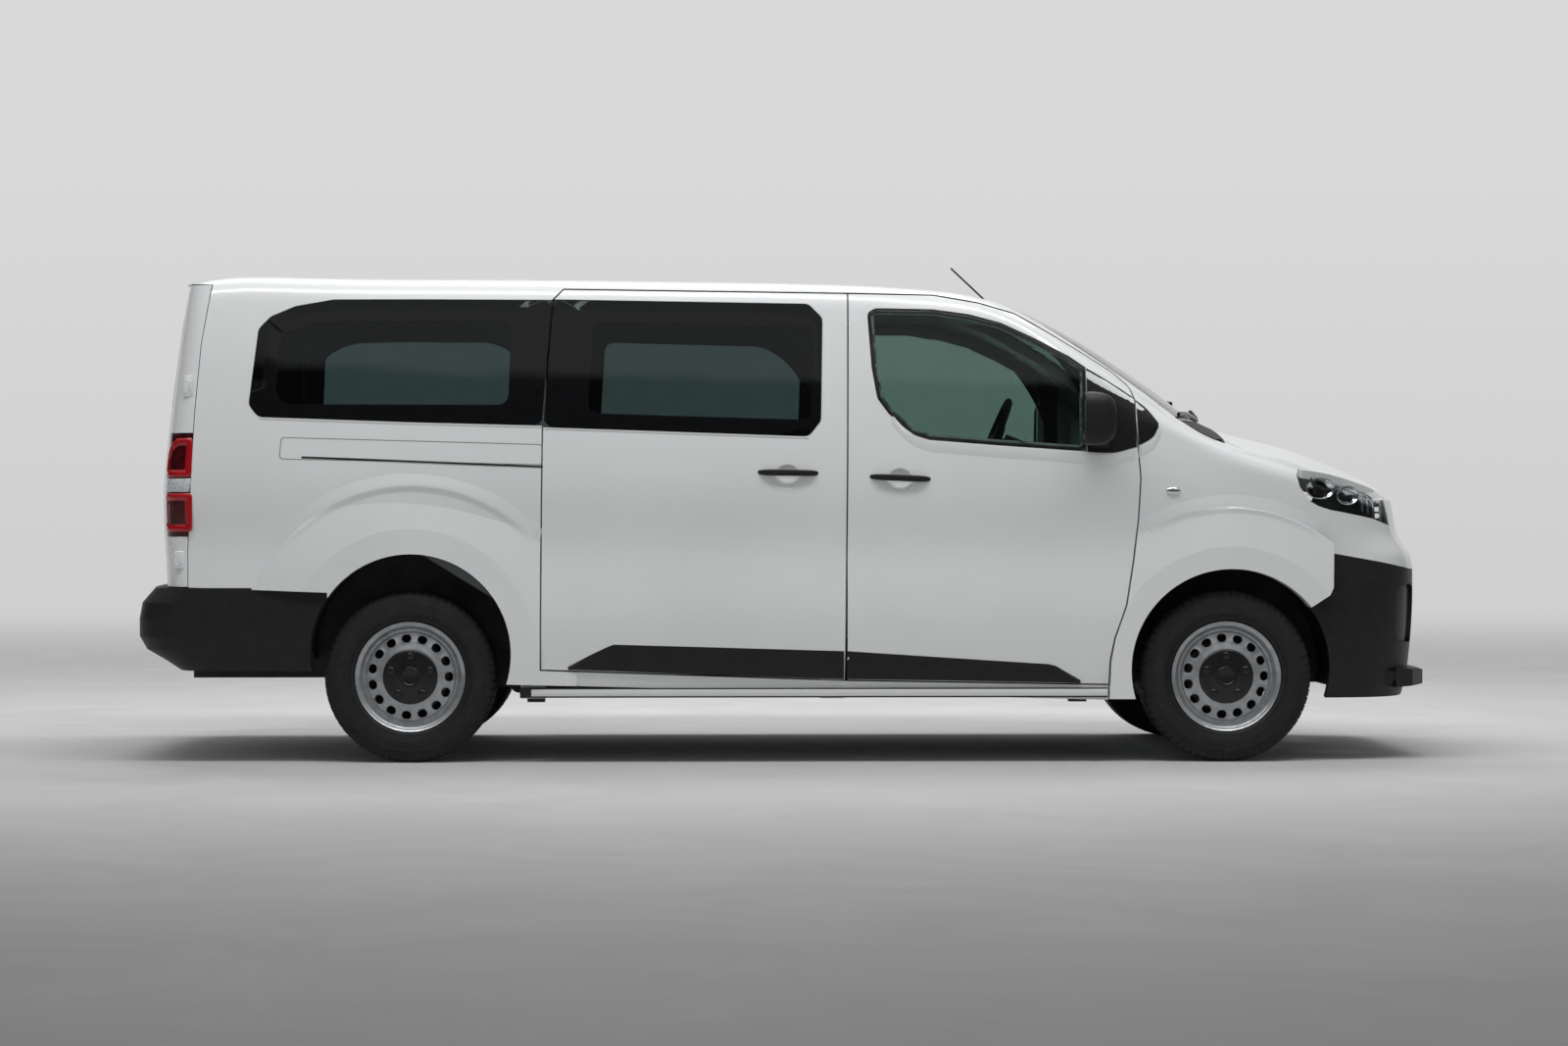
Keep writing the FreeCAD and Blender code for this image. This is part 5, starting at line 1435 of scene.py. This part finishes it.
# %% Pads blown up as cloth
PAD_VOXEL = 0.013
PAD_PRESSURE = 4.0
PAD_CAP = 0.022
HEAD_CAP = 0.014
PAD_FRAMES = 20


def block_pad(name, long_x, wide_y, thick_z, corner):
    """A box with rounded edges about the origin, its broad side up."""
    mesh = bpy.data.meshes.new(name)
    work = bmesh.new()
    bmesh.ops.create_cube(work, size=1.0)
    for vertex in work.verts:
        vertex.co = Vector((vertex.co.x * long_x, vertex.co.y * wide_y, vertex.co.z * thick_z))
    bmesh.ops.bevel(work, geom=work.edges[:], offset=corner, segments=3, profile=0.5, affect="EDGES")
    work.to_mesh(mesh)
    work.free()
    return mesh


def swollen(mesh, cap):
    """The mesh after a voxel remesh and a short cloth run with pressure inside it."""
    thing = bpy.data.objects.new("pad", mesh)
    bpy.context.scene.collection.objects.link(thing)
    remesh = thing.modifiers.new("even", "REMESH")
    remesh.mode = "VOXEL"
    remesh.voxel_size = PAD_VOXEL
    bpy.context.view_layer.update()
    even = bpy.data.meshes.new_from_object(thing.evaluated_get(bpy.context.evaluated_depsgraph_get()))
    thing.modifiers.clear()
    thing.data = even
    start = [vertex.co.copy() for vertex in even.vertices]
    cloth = thing.modifiers.new("cover", "CLOTH")
    cloth.settings.use_pressure = True
    cloth.settings.uniform_pressure_force = PAD_PRESSURE
    cloth.settings.effector_weights.gravity = 0.0
    cloth.settings.tension_stiffness = 25.0
    cloth.settings.compression_stiffness = 25.0
    cloth.settings.bending_stiffness = 0.6
    cloth.point_cache.frame_start = 1
    cloth.point_cache.frame_end = PAD_FRAMES
    for frame_number in range(1, PAD_FRAMES + 1):
        bpy.context.scene.frame_set(frame_number)
    blown = bpy.data.meshes.new_from_object(thing.evaluated_get(bpy.context.evaluated_depsgraph_get()))
    for vertex, place in zip(blown.vertices, start):
        moved = vertex.co - place
        if moved.length > cap:
            vertex.co = place + moved.normalized() * cap
    thing.modifiers.clear()
    thing.data = blown
    bpy.context.scene.frame_set(1)
    smooth = thing.modifiers.new("smooth", "SUBSURF")
    smooth.levels = smooth.render_levels = 1
    bpy.context.view_layer.update()
    done = bpy.data.meshes.new_from_object(thing.evaluated_get(bpy.context.evaluated_depsgraph_get()))
    bpy.data.objects.remove(thing)
    return done


def sewn(mesh, along_y, across_x, depth, half_width, reach):
    """Press channels into the top: lines at fixed y, and lines at fixed x between the outer two."""
    inner = max([abs(y) for y in along_y] + [reach])
    for vertex in mesh.vertices:
        if vertex.co.z < 0:
            continue
        push = max([math.exp(-((vertex.co.y - y) / half_width) ** 2) for y in along_y] or [0.0])
        if abs(vertex.co.y) < inner:
            push = max([push] + [0.75 * math.exp(-((vertex.co.x - x) / half_width) ** 2) for x in across_x])
        vertex.co.z -= depth * push
    return mesh


# The shell behind a back: place along the back, how much narrower on each side, half depth, offset
BACK_SHELL = ((0.045, 0.030, 0.012, -0.046), (0.060, 0.018, 0.018, -0.046), (0.300, 0.014, 0.018, -0.046),
              (0.480, 0.030, 0.016, -0.044), (0.492, 0.045, 0.010, -0.044))
# The pan under the cushions: its level and half length, then heights about the level and shares of its size
PAN_LEVEL, PAN_HALF = 0.262, 0.205
PAN_STEPS = ((-0.022, 0.95), (-0.016, 1.0), (0.012, 1.0), (0.016, 0.97))
# A leg: height over the floor, half width, and how far it leans forward
LEG_STEPS = ((0.001, 0.040, 0.0), (0.012, 0.040, 0.0), (0.020, 0.022, 0.004), (0.200, 0.020, 0.014),
             (0.244, 0.030, 0.014))
# Each place on a seat row: its middle in y, and its width
SEAT_PLACES = {
    "driver_seat": [(0.445, 0.37)],
    "passenger_bench": [(-0.105, 0.40), (-0.525, 0.40)],
    "second_row_seats": [(-0.40, 0.38), (0.0, 0.38), (0.40, 0.38)],
    "third_row_seats": [(-0.3733, 0.355), (0.0, 0.355), (0.3733, 0.355)],
}
CUSHION_MESH = sewn(swollen(block_pad("cushion", 0.462, 0.345, 0.098, 0.034), PAD_CAP), (-0.118, 0.118),
                    (-0.11, 0.0, 0.11), 0.010, 0.011, 0.0)
BACK_MESH = sewn(swollen(block_pad("back", 0.405, 0.335, 0.078, 0.030), PAD_CAP), (-0.112, 0.112),
                 (-0.12, -0.02, 0.08), 0.009, 0.011, 0.0)
HEAD_MESH = sewn(swollen(block_pad("head", 0.118, 0.200, 0.056, 0.022), HEAD_CAP), (), (0.0,), 0.004, 0.008,
                 0.08)
print("pads swollen:", len(CUSHION_MESH.polygons), len(BACK_MESH.polygons), len(HEAD_MESH.polygons), "faces")

# %% Fit the pads and their frames
BACK_LEAN = math.radians(12.0)
FLOOR_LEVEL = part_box("driver_seat")[0].z


def padded_piece(name, meshes, finish):
    """One piece from several pads."""
    mesh = joined_mesh(name, [(part, 0) for part in meshes])
    made = new_piece(name, mesh, finish, "body", sharp=70)
    return made


def leaned(x_seat, along_back, off_back, y):
    """A place on the leaning back: up along it, and forward off its middle plane."""
    foot = Vector((x_seat - 0.280, y, FLOOR_LEVEL + 0.300))
    up = Vector((-math.sin(BACK_LEAN), 0, math.cos(BACK_LEAN)))
    forward = Vector((math.cos(BACK_LEAN), 0, math.sin(BACK_LEAN)))
    return foot + up * along_back + forward * off_back


for node, places in SEAT_PLACES.items():
    x_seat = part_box(node)[1].x - 0.250
    turn_back = Matrix(((0, 0, 1, 0), (0, 1, 0, 0), (-1, 0, 0, 0), (0, 0, 0, 1)))
    lean = Matrix.Rotation(-BACK_LEAN, 4, "Y")
    cushions, backs, heads, frames, rods = [], [], [], [], []
    for y, wide in places:
        scale = Matrix.Diagonal((1.0, wide / 0.375, 1.0, 1.0))
        copy = CUSHION_MESH.copy()
        copy.transform(Matrix.Translation((x_seat + 0.004, y, FLOOR_LEVEL + 0.322)) @ scale)
        cushions.append(copy)
        copy = BACK_MESH.copy()
        copy.transform(Matrix.Translation(leaned(x_seat, 0.280, 0.006, y)) @ lean @ turn_back @ scale)
        backs.append(copy)
        copy = HEAD_MESH.copy()
        copy.transform(Matrix.Translation(leaned(x_seat, 0.590, 0.000, y)) @ lean @ turn_back @ scale)
        heads.append(copy)
        for dy in (-0.055, 0.055):
            rod = [leaned(x_seat, up, 0.0, y + dy) for up in (0.47, 0.50, 0.54)]
            rods.append(tube_mesh("rod", rod, 0.006))
        back_forward = Vector((math.cos(BACK_LEAN), 0, math.sin(BACK_LEAN)))
        shell = [oval(leaned(x_seat, at, off, y), Y, back_forward, wide / 2 - narrower, half_z, 5.0, 32)
                 for at, narrower, half_z, off in BACK_SHELL]
        frames.append(loft_mesh("back_shell", shell))
    start = min(y - wide / 2 for y, wide in places)
    end = max(y + wide / 2 for y, wide in places)
    middle, half_y = (start + end) / 2, (end - start) / 2 - 0.012
    pan = [oval((x_seat, middle, FLOOR_LEVEL + PAN_LEVEL + dz), X, Y, PAN_HALF * share, half_y * share, 7.0,
                40) for dz, share in PAN_STEPS]
    frames.append(loft_mesh("pan", pan))
    for y in (start + 0.075, end - 0.075):
        for x in (-0.150, 0.170):
            leg = [oval((x_seat + x + lean_x, y, FLOOR_LEVEL + z), X, Y, wide_x, 0.016, 5.0, 20)
                   for z, wide_x, lean_x in LEG_STEPS]
            frames.append(loft_mesh("leg", leg))
    padded_piece(node + "_cushions", cushions, SEAT_FABRIC)
    padded_piece(node + "_backs", backs, SEAT_FABRIC)
    padded_piece(node + "_headrests", heads, SEAT_FABRIC)
    mesh = joined_mesh("rods", [(rod, 0) for rod in rods])
    new_piece(node + "_headrest_rods", mesh, CAST_ALUMINIUM, "body")
    mesh = joined_mesh("frame", [(part, 0) for part in frames])
    new_piece(node + "_frame", mesh, CABIN_TRIM, "body", (node,))
print("four rows of seats dressed")

# %% [markdown]
# ## Linings
# Bare steel never shows inside a minibus. A pale headliner hangs under the roof, moulded grey panels cover
# the sides round the windows, the doors have cards of the same trim, and ribbed rubber covers the floor.
# Each lining is thrown onto the inside of the body from the middle of the cabin.

# %% Lining finishes and inside views
INSIDE_START = 0.30


def from_inside(sign):
    """The view of one side of the body from the middle of the cabin."""
    return lambda u, v: Vector((u, sign * INSIDE_START, v)), Vector((0, sign, 0))


for side, sign in SIDES.items():
    VIEWS["inside_" + side] = from_inside(sign)
VIEWS["roof_inside"] = (lambda u, v: Vector((u, v, 1.45)), Vector((0, 0, 1)))
VIEWS["floor_inside"] = (lambda u, v: Vector((u, v, 0.75)), Vector((0, 0, -1)))

INSIDE_TREES = {"right": joined_tree("side_panel_right", "door_posts", "sliding_door", "fixed_side_glass",
                                     "sliding_door_glass"),
                "left": joined_tree("side_panel_left", "door_posts", "fixed_side_glass")}
QUARTER_CARD = mm((-2270, 1840), (-1500, 1880), (-925, 1880), (-945, 1100), (-945, 520), (-1500, 860),
                  (-2060, 740), (-2290, 740), (-2290, 1250), (-2290, 1500))
SLIDING_CARD = mm((-915, 1878), (215, 1868), (222, 1100), (222, 480), (-930, 480), (-930, 1100))
FRONT_CARD = mm((300, 1838), (370, 1850), (620, 1846), (760, 1826), (890, 1790), (1030, 1722), (1160, 1650),
                (1270, 1560), (1290, 560), (870, 500), (560, 500), (480, 520), (350, 600), (300, 900),
                (300, 1200))
CARD_POINTS = 160
CARD_LIFTS = [0.004, 0.007, 0.007, 0.007, 0.007, 0.004]


def ring_of(outline, radius):
    """A closed outline with soft corners, as evenly spaced points."""
    line = soft_outline(outline, radius, 5, 10)
    return spaced(line + [line[0]], CARD_POINTS + 1)[:-1]


def turning(points):
    """Over 0 for a closed outline that runs anticlockwise, under 0 for one that runs clockwise."""
    return sum(a[0] * b[1] - b[0] * a[1] for a, b in zip(points, points[1:] + points[:1]))


def card(name, side, window, outline, tree, body, finish):
    """A lining round a window, from just outside its edge to the outline of the panel."""
    inner, outer = ring_of(inset(window, -0.006), 0.05), ring_of(outline, 0.03)
    nearest = min(range(CARD_POINTS), key=lambda k: math.dist(inner[k], outer[0]))
    inner = inner[nearest:] + inner[:nearest]
    if turning(inner) * turning(outer) < 0:
        inner = [inner[0]] + inner[1:][::-1]
    last = len(CARD_LIFTS) - 1
    grid = [[(a[0] + (b[0] - a[0]) * r / last, a[1] + (b[1] - a[1]) * r / last) for a, b in zip(inner, outer)]
            for r in range(last + 1)]
    mesh = sheet_mesh(name, "inside_" + side, grid, tree, CARD_LIFTS, 0.003, ring=True)
    return new_piece(name, mesh, finish, body, sharp=50)


for side in SIDES:
    tree = INSIDE_TREES[side]
    card("quarter_card_" + side, side, QUARTER_CLEAR, QUARTER_CARD, tree, "body", LINING_GREY)
    card("sliding_card_" + side, side, SLIDING_CLEAR, SLIDING_CARD, tree, "body", LINING_GREY)
    card("front_door_card_" + side, side, FRONT_OUTER, FRONT_CARD,
         joined_tree("front_door_" + side, "front_door_glass_" + side), "front_door_" + side + "_assembly",
         CABIN_TRIM)
rows = between([(-2.28, -0.70), (0.72, -0.66)], [(-2.28, 0.70), (0.72, 0.66)], 33, 40)
tree = joined_tree("roof_panel", "windscreen_frame")
mesh = sheet_mesh("headliner", "roof_inside", rows, tree, 0.010, 0.008)
new_piece("headliner", mesh, HEADLINER, "body", sharp=70)
MAT_START, MAT_LENGTH, MAT_WIDTH = -2.30, 3.60, 1.20
mat = [[(MAT_START + MAT_LENGTH * along / 60, MAT_WIDTH * (across / 24 - 0.5)) for along in range(61)]
       for across in range(25)]
mesh = sheet_mesh("floor_mat", "floor_inside", mat, joined_tree("floor_pan"), 0.003, 0.002)
new_piece("floor_mat", mesh, RIBBED_RUBBER, "body", sharp=70)
print("linings hung")

# %% [markdown]
# ## Sills and the front lip
# Under the doors runs a narrow painted sill, and the front bumper ends in a lip like a plough: thin at its
# edge and growing into the bumper behind it. The sill is a strip laid on the floor pan's side. The lip's edge
# follows the bumper, so the bumper is probed from the front and a wedge is drawn through what was found.

# %% Painted sills
SILL_ENDS = (-1.075, 1.290)
SILL_TOP, SILL_BASE = 0.304, 0.268
SILL_SWELL = [0.0010, 0.0042, 0.0048, 0.0040, 0.0010]
sill_tree = joined_tree("floor_pan")
for side in SIDES:
    top = [(x, SILL_TOP) for x in SILL_ENDS]
    base = [(x, SILL_BASE) for x in SILL_ENDS]
    grid = between(top, base, len(SILL_SWELL), 40)
    mesh = sheet_mesh("sill_rail_" + side, side, grid, sill_tree, SILL_SWELL, 0.004)
    new_piece("sill_rail_" + side, mesh, WHITE_ENAMEL, "body")
print("sills painted")

# %% Front lip
LIP_HALF = 0.80
LIP_STEPS = 32
LIP_LEVEL = 0.338
# The wedge's outline: distance ahead of the bumper's edge, and height
LIP_LINE = ((-0.004, 0.358), (0.0, 0.352), (-0.008, 0.322), (-0.050, 0.303), (-0.150, 0.283), (-0.280, 0.268),
            (-0.285, 0.290), (-0.160, 0.345), (-0.060, 0.360))
bumper_tree = joined_tree("front_bumper")
sections = []
for step in range(LIP_STEPS + 1):
    y = LIP_HALF * (2 * step / LIP_STEPS - 1)
    met = bumper_tree.ray_cast(Vector((3.2, y, LIP_LEVEL)), Vector((-1, 0, 0)))[0]
    if met is None:
        continue
    x = min(met.x + 0.001, cad_box[1].x - 0.002)
    sections.append([Vector((x + ahead, y, z)) for ahead, z in LIP_LINE])
new_piece("front_lip", loft_mesh("front_lip", sections), GRAINED_PLASTIC, "body")
print("front lip drawn through", len(sections), "sections")

# %% [markdown]
# ## Wipers and the rear doors' fittings
# Two wipers rest along the foot of the windscreen: a flat steel arm and a rubber blade. Their lines are drawn
# in plan and dropped onto the glass. The rear doors have one pull handle beside the joint between them, and a
# high brake light sits in the roof's edge above them.

# %% Wipers
screen_tree = joined_tree("windscreen", "windscreen_frame", "cowl", "bonnet")
WIPERS = {"driver_wiper": ((1.735, 0.560), (1.640, 0.250), (1.655, -0.120)),
          "passenger_wiper": ((1.760, -0.060), (1.700, -0.380), (1.610, -0.690))}


def dropped(points, rise):
    """Points of a plan, lifted above whatever they land on."""
    return [screen_tree.ray_cast(Vector((x, y, 2.6)), Vector((0, 0, -1)))[0] + Vector((0, 0, rise))
            for x, y in spaced(points, 24)]


for name, (pivot, elbow, tip) in WIPERS.items():
    arm = tube_mesh(name, dropped((pivot, elbow), 0.030), 0.008, 10, 0.6)
    blade_start = (elbow[0] + (elbow[0] - tip[0]) * 0.55, elbow[1] + (elbow[1] - tip[1]) * 0.55)
    blade = tube_mesh(name, dropped((blade_start, elbow, tip), 0.012), 0.007, 10, 1.4)
    boss = round_bead(dropped((pivot, elbow), 0.006)[0], Vector((0, 0, 1)), 0.020, 0.030)
    new_piece(name, joined_mesh(name, [(arm, 0), (blade, 0), (boss, 0)]), SATIN_PLASTIC, "body")
print("wipers laid on the screen")

# %% Rear handle and high brake light
rear_tree = joined_tree("rear_door_left", "rear_door_right", "roof_panel", "side_panel_left")
outer = soft_outline(((0.045, 1.150), (0.205, 1.150), (0.205, 1.105), (0.045, 1.105)), 0.014, 5, 10)
rings = [outer] + [inset(outer, amount) for amount in (0.003, 0.009)]
mesh = sheet_mesh("rear_handle", "rear", rings, rear_tree, [0.001, 0.016, 0.020], 0.003, ring=True)
new_piece("rear_handle", mesh, GRAINED_PLASTIC, "rear_door_left_assembly")
handle_face = between(((0.054, 1.141), (0.196, 1.141)), ((0.054, 1.114), (0.196, 1.114)), 4, 12)
mesh = sheet_mesh("rear_handle_pad", "rear", handle_face, rear_tree, 0.0195, 0.016)
new_piece("rear_handle_pad", mesh, SATIN_PLASTIC, "rear_door_left_assembly")
light = between(((-0.17, 1.962), (0.17, 1.962)), ((-0.17, 1.940), (0.17, 1.940)), 4, 24)
mesh = sheet_mesh("high_brake_light", "rear", light, rear_tree, [0.001, 0.006, 0.006, 0.001], 0.004)
new_piece("high_brake_light", mesh, DEEP_RED, "body")
print("rear fittings made")

# %% [markdown]
# ## The studio
# The photograph was taken in a plain grey studio whose floor runs up into its wall in one sweep. One sheet
# does the same here: flat under the van, then a wide quarter circle, then upright. Its floor is real
# concrete that takes the shadow, with painted shade that darkens its colour towards the camera, and
# towards the wall it fades into an even pale tone for the camera.

# %% Floor and wall in one sweep
STAGE_HALF_WIDTH = 45.0
STAGE_NEAR = -45.0
STAGE_BEND = 30.0
STAGE_BEND_RADIUS = 6.0
STAGE_TOP = 14.0


def make_studio_concrete():
    made, tree, shader = finish_of("pale_studio_concrete", "B4B4B4", Roughness=0.75, IOR=1.45)
    place = add(tree, "ShaderNodeTexCoord").outputs["Object"]
    split = add(tree, "ShaderNodeSeparateXYZ", {"Vector": place})
    # Painted shade: the floor's colour runs from dark near the camera to pale far away, standing in for the
    # falloff of the studio light.
    near = add(tree, "ShaderNodeMapRange", {"Value": split.outputs["Y"], "From Min": -9.0, "From Max": 8.0,
                                            "To Min": 0.0, "To Max": 1.0}, interpolation_type="SMOOTHERSTEP")
    tone = add(tree, "ShaderNodeValToRGB", {"Fac": near.outputs["Result"]})
    tone.color_ramp.elements[0].color = colour("8C8C8C")
    tone.color_ramp.elements[1].color = colour("E4E4E4")
    clouds = add(tree, "ShaderNodeTexNoise", {"Vector": place, "Scale": 1.1, "Detail": 9.0,
                                              "Roughness": 0.62, "Distortion": 1.4})
    mottle = add(tree, "ShaderNodeMapRange", {"Value": clouds.outputs["Fac"], "From Min": 0.3,
                                              "From Max": 0.7, "To Min": 0.94, "To Max": 1.06})
    # The painted falloff of the light, times the concrete's own random mottle.
    falloff_and_mottle = add(tree, "ShaderNodeVectorMath", {0: tone.outputs["Color"], 1: mottle.outputs["Result"]},
                  operation="MULTIPLY")
    tree.links.new(falloff_and_mottle.outputs["Vector"], shader.inputs["Base Color"])
    bump = add(tree, "ShaderNodeBump", {"Height": clouds.outputs["Fac"], "Distance": 0.004,
                                        "Strength": 0.3})
    tree.links.new(bump.outputs["Normal"], shader.inputs["Normal"])
    wall_tone = add(tree, "ShaderNodeValToRGB")
    height = add(tree, "ShaderNodeMapRange", {"Value": split.outputs["Z"], "From Min": 0.0,
                                              "From Max": 6.0, "To Min": 0.0, "To Max": 1.0})
    tree.links.new(height.outputs["Result"], wall_tone.inputs["Fac"])
    wall_tone.color_ramp.elements[0].color = colour("CFCFCF")
    wall_tone.color_ramp.elements[1].color = colour("D9D9D9")
    glow = add(tree, "ShaderNodeEmission", {"Color": wall_tone.outputs["Color"], "Strength": 1.0})
    rays = add(tree, "ShaderNodeLightPath").outputs
    seen = add(tree, "ShaderNodeMath", {0: rays["Is Camera Ray"], 1: rays["Is Glossy Ray"]},
               operation="MAXIMUM")
    seen = add(tree, "ShaderNodeMath", {0: seen.outputs["Value"], 1: rays["Is Transmission Ray"]},
               operation="MAXIMUM")
    far = add(tree, "ShaderNodeMapRange", {"Value": split.outputs["Y"], "From Min": 3.0, "From Max": 22.0,
                                           "To Min": 0.0, "To Max": 1.0}, interpolation_type="SMOOTHSTEP")
    share = add(tree, "ShaderNodeMath", {0: seen.outputs["Value"], 1: far.outputs["Result"]},
                operation="MULTIPLY")
    mixed = add(tree, "ShaderNodeMixShader", {0: share.outputs["Value"], 1: shader.outputs["BSDF"],
                                              2: glow.outputs["Emission"]})
    tree.links.new(mixed.outputs["Shader"], tree.nodes["Material Output"].inputs["Surface"])
    return made


def make_stage():
    """A sheet swept along +Y: floor, quarter circle and wall."""
    line = [(STAGE_NEAR, 0.0), (-4.0, 0.0), (4.0, 0.0), (STAGE_BEND, 0.0)]
    for step in range(1, 13):
        turn = math.pi / 2 * step / 12
        line.append((STAGE_BEND + STAGE_BEND_RADIUS * math.sin(turn),
                     STAGE_BEND_RADIUS * (1 - math.cos(turn))))
    line.append((STAGE_BEND + STAGE_BEND_RADIUS, STAGE_TOP))
    mesh = bpy.data.meshes.new("studio_floor")
    corners = [(x, y, z) for y, z in line for x in (-STAGE_HALF_WIDTH, STAGE_HALF_WIDTH)]
    faces = [(2 * at, 2 * at + 1, 2 * at + 3, 2 * at + 2) for at in range(len(line) - 1)]
    mesh.from_pydata(corners, [], faces)
    mesh.shade_smooth()
    made = bpy.data.objects.new("studio_floor", mesh)
    bpy.context.scene.collection.objects.link(made)
    mesh.materials.append(make_studio_concrete())
    return made


make_stage()
print("studio floor swept up to", STAGE_TOP, "m")

# %% [markdown]
# ## Studio light
# A vehicle studio lights a car from above and lets the rest stay grey. Here a wide softbox hangs a little
# beyond the van and a long narrow one high on the camera's side, so the flanks are lit from above too. The
# world is the room round them: brighter overhead, with a low glow from both sides. What shines in the side
# glass is the edge between the lit ceiling and the dark end of the hall behind the camera, so a ray that
# bounces off something glossy sees that edge instead.

# %% World and softboxes
CEILING_LEVEL = 0.46
SIDE_LEVEL = 0.20
SIDE_GLOW = 0.70
HALL_TONE = 0.66
# The reflected edge: the height of its direction, its slope along the van, its softness, and both levels
HALL_EDGE, HALL_SLOPE, HALL_SOFT = 0.375, 0.12, 0.01
HALL_DARK, HALL_LIT = 0.04, 0.40

def make_world():
    world = bpy.data.worlds.new("soft_studio")
    world.use_nodes = True
    tree = world.node_tree
    way = add(tree, "ShaderNodeTexCoord").outputs["Generated"]
    split = add(tree, "ShaderNodeSeparateXYZ", {"Vector": way})
    level = add(tree, "ShaderNodeMapRange", {"Value": split.outputs["Z"], "From Min": 0.0, "From Max": 0.9,
                                             "To Min": SIDE_LEVEL, "To Max": CEILING_LEVEL})
    slope = add(tree, "ShaderNodeMath", {0: split.outputs["X"], 1: HALL_SLOPE}, operation="MULTIPLY")
    lifted = add(tree, "ShaderNodeMath", {0: split.outputs["Z"], 1: slope.outputs["Value"]}, operation="ADD")
    edge = add(tree, "ShaderNodeMapRange", {"Value": lifted.outputs["Value"],
                                            "From Min": HALL_EDGE - HALL_SOFT,
                                            "From Max": HALL_EDGE + HALL_SOFT,
                                            "To Min": HALL_DARK, "To Max": HALL_LIT})
    low = add(tree, "ShaderNodeMapRange", {"Value": split.outputs["Z"], "From Min": 0.03, "From Max": 0.55,
                                           "To Min": 1.0, "To Max": 0.0}, interpolation_type="SMOOTHSTEP")
    across = add(tree, "ShaderNodeMath", {0: split.outputs["Y"]}, operation="ABSOLUTE")
    aside = add(tree, "ShaderNodeMapRange", {"Value": across.outputs["Value"], "From Min": 0.1,
                                             "From Max": 0.9, "To Min": 0.0, "To Max": SIDE_GLOW},
                interpolation_type="SMOOTHSTEP")
    glow = add(tree, "ShaderNodeMath", {0: low.outputs["Result"], 1: aside.outputs["Result"],
                                        2: level.outputs["Result"]}, operation="MULTIPLY_ADD")
    rays = add(tree, "ShaderNodeLightPath").outputs
    chosen = add(tree, "ShaderNodeMix", {"Factor": rays["Is Glossy Ray"], "A": glow.outputs["Value"],
                                         "B": edge.outputs["Result"]}, data_type="FLOAT")
    chosen = add(tree, "ShaderNodeMix", {"Factor": rays["Is Camera Ray"], "A": chosen.outputs["Result"],
                                         "B": HALL_TONE}, data_type="FLOAT")
    tree.links.new(chosen.outputs["Result"], tree.nodes["Background"].inputs["Strength"])
    tree.nodes["Background"].inputs["Color"].default_value = colour("FFFFFF")
    return world


bpy.context.scene.world = make_world()


def soft_lamp(name, place, aim, width, height, power):
    """An area lamp that faces a point."""
    data = bpy.data.lights.new(name, "AREA")
    data.shape = "RECTANGLE"
    data.size = width
    data.size_y = height
    data.energy = power
    made = bpy.data.objects.new(name, data)
    made.location = place
    made.rotation_euler = (Vector(aim) - Vector(place)).to_track_quat("-Z", "Y").to_euler()
    bpy.context.scene.collection.objects.link(made)
    return made


soft_lamp("ceiling_softbox", (0.0, 2.0, 6.4), (0.0, 0.0, 0.6), 7.5, 2.2, 230.0)
soft_lamp("near_softbox", (0.0, -3.2, 6.6), (0.0, -1.0, 0.9), 9.0, 1.0, 330.0)
print("world and two softboxes made")

# %% Close the scene
print("scene built")
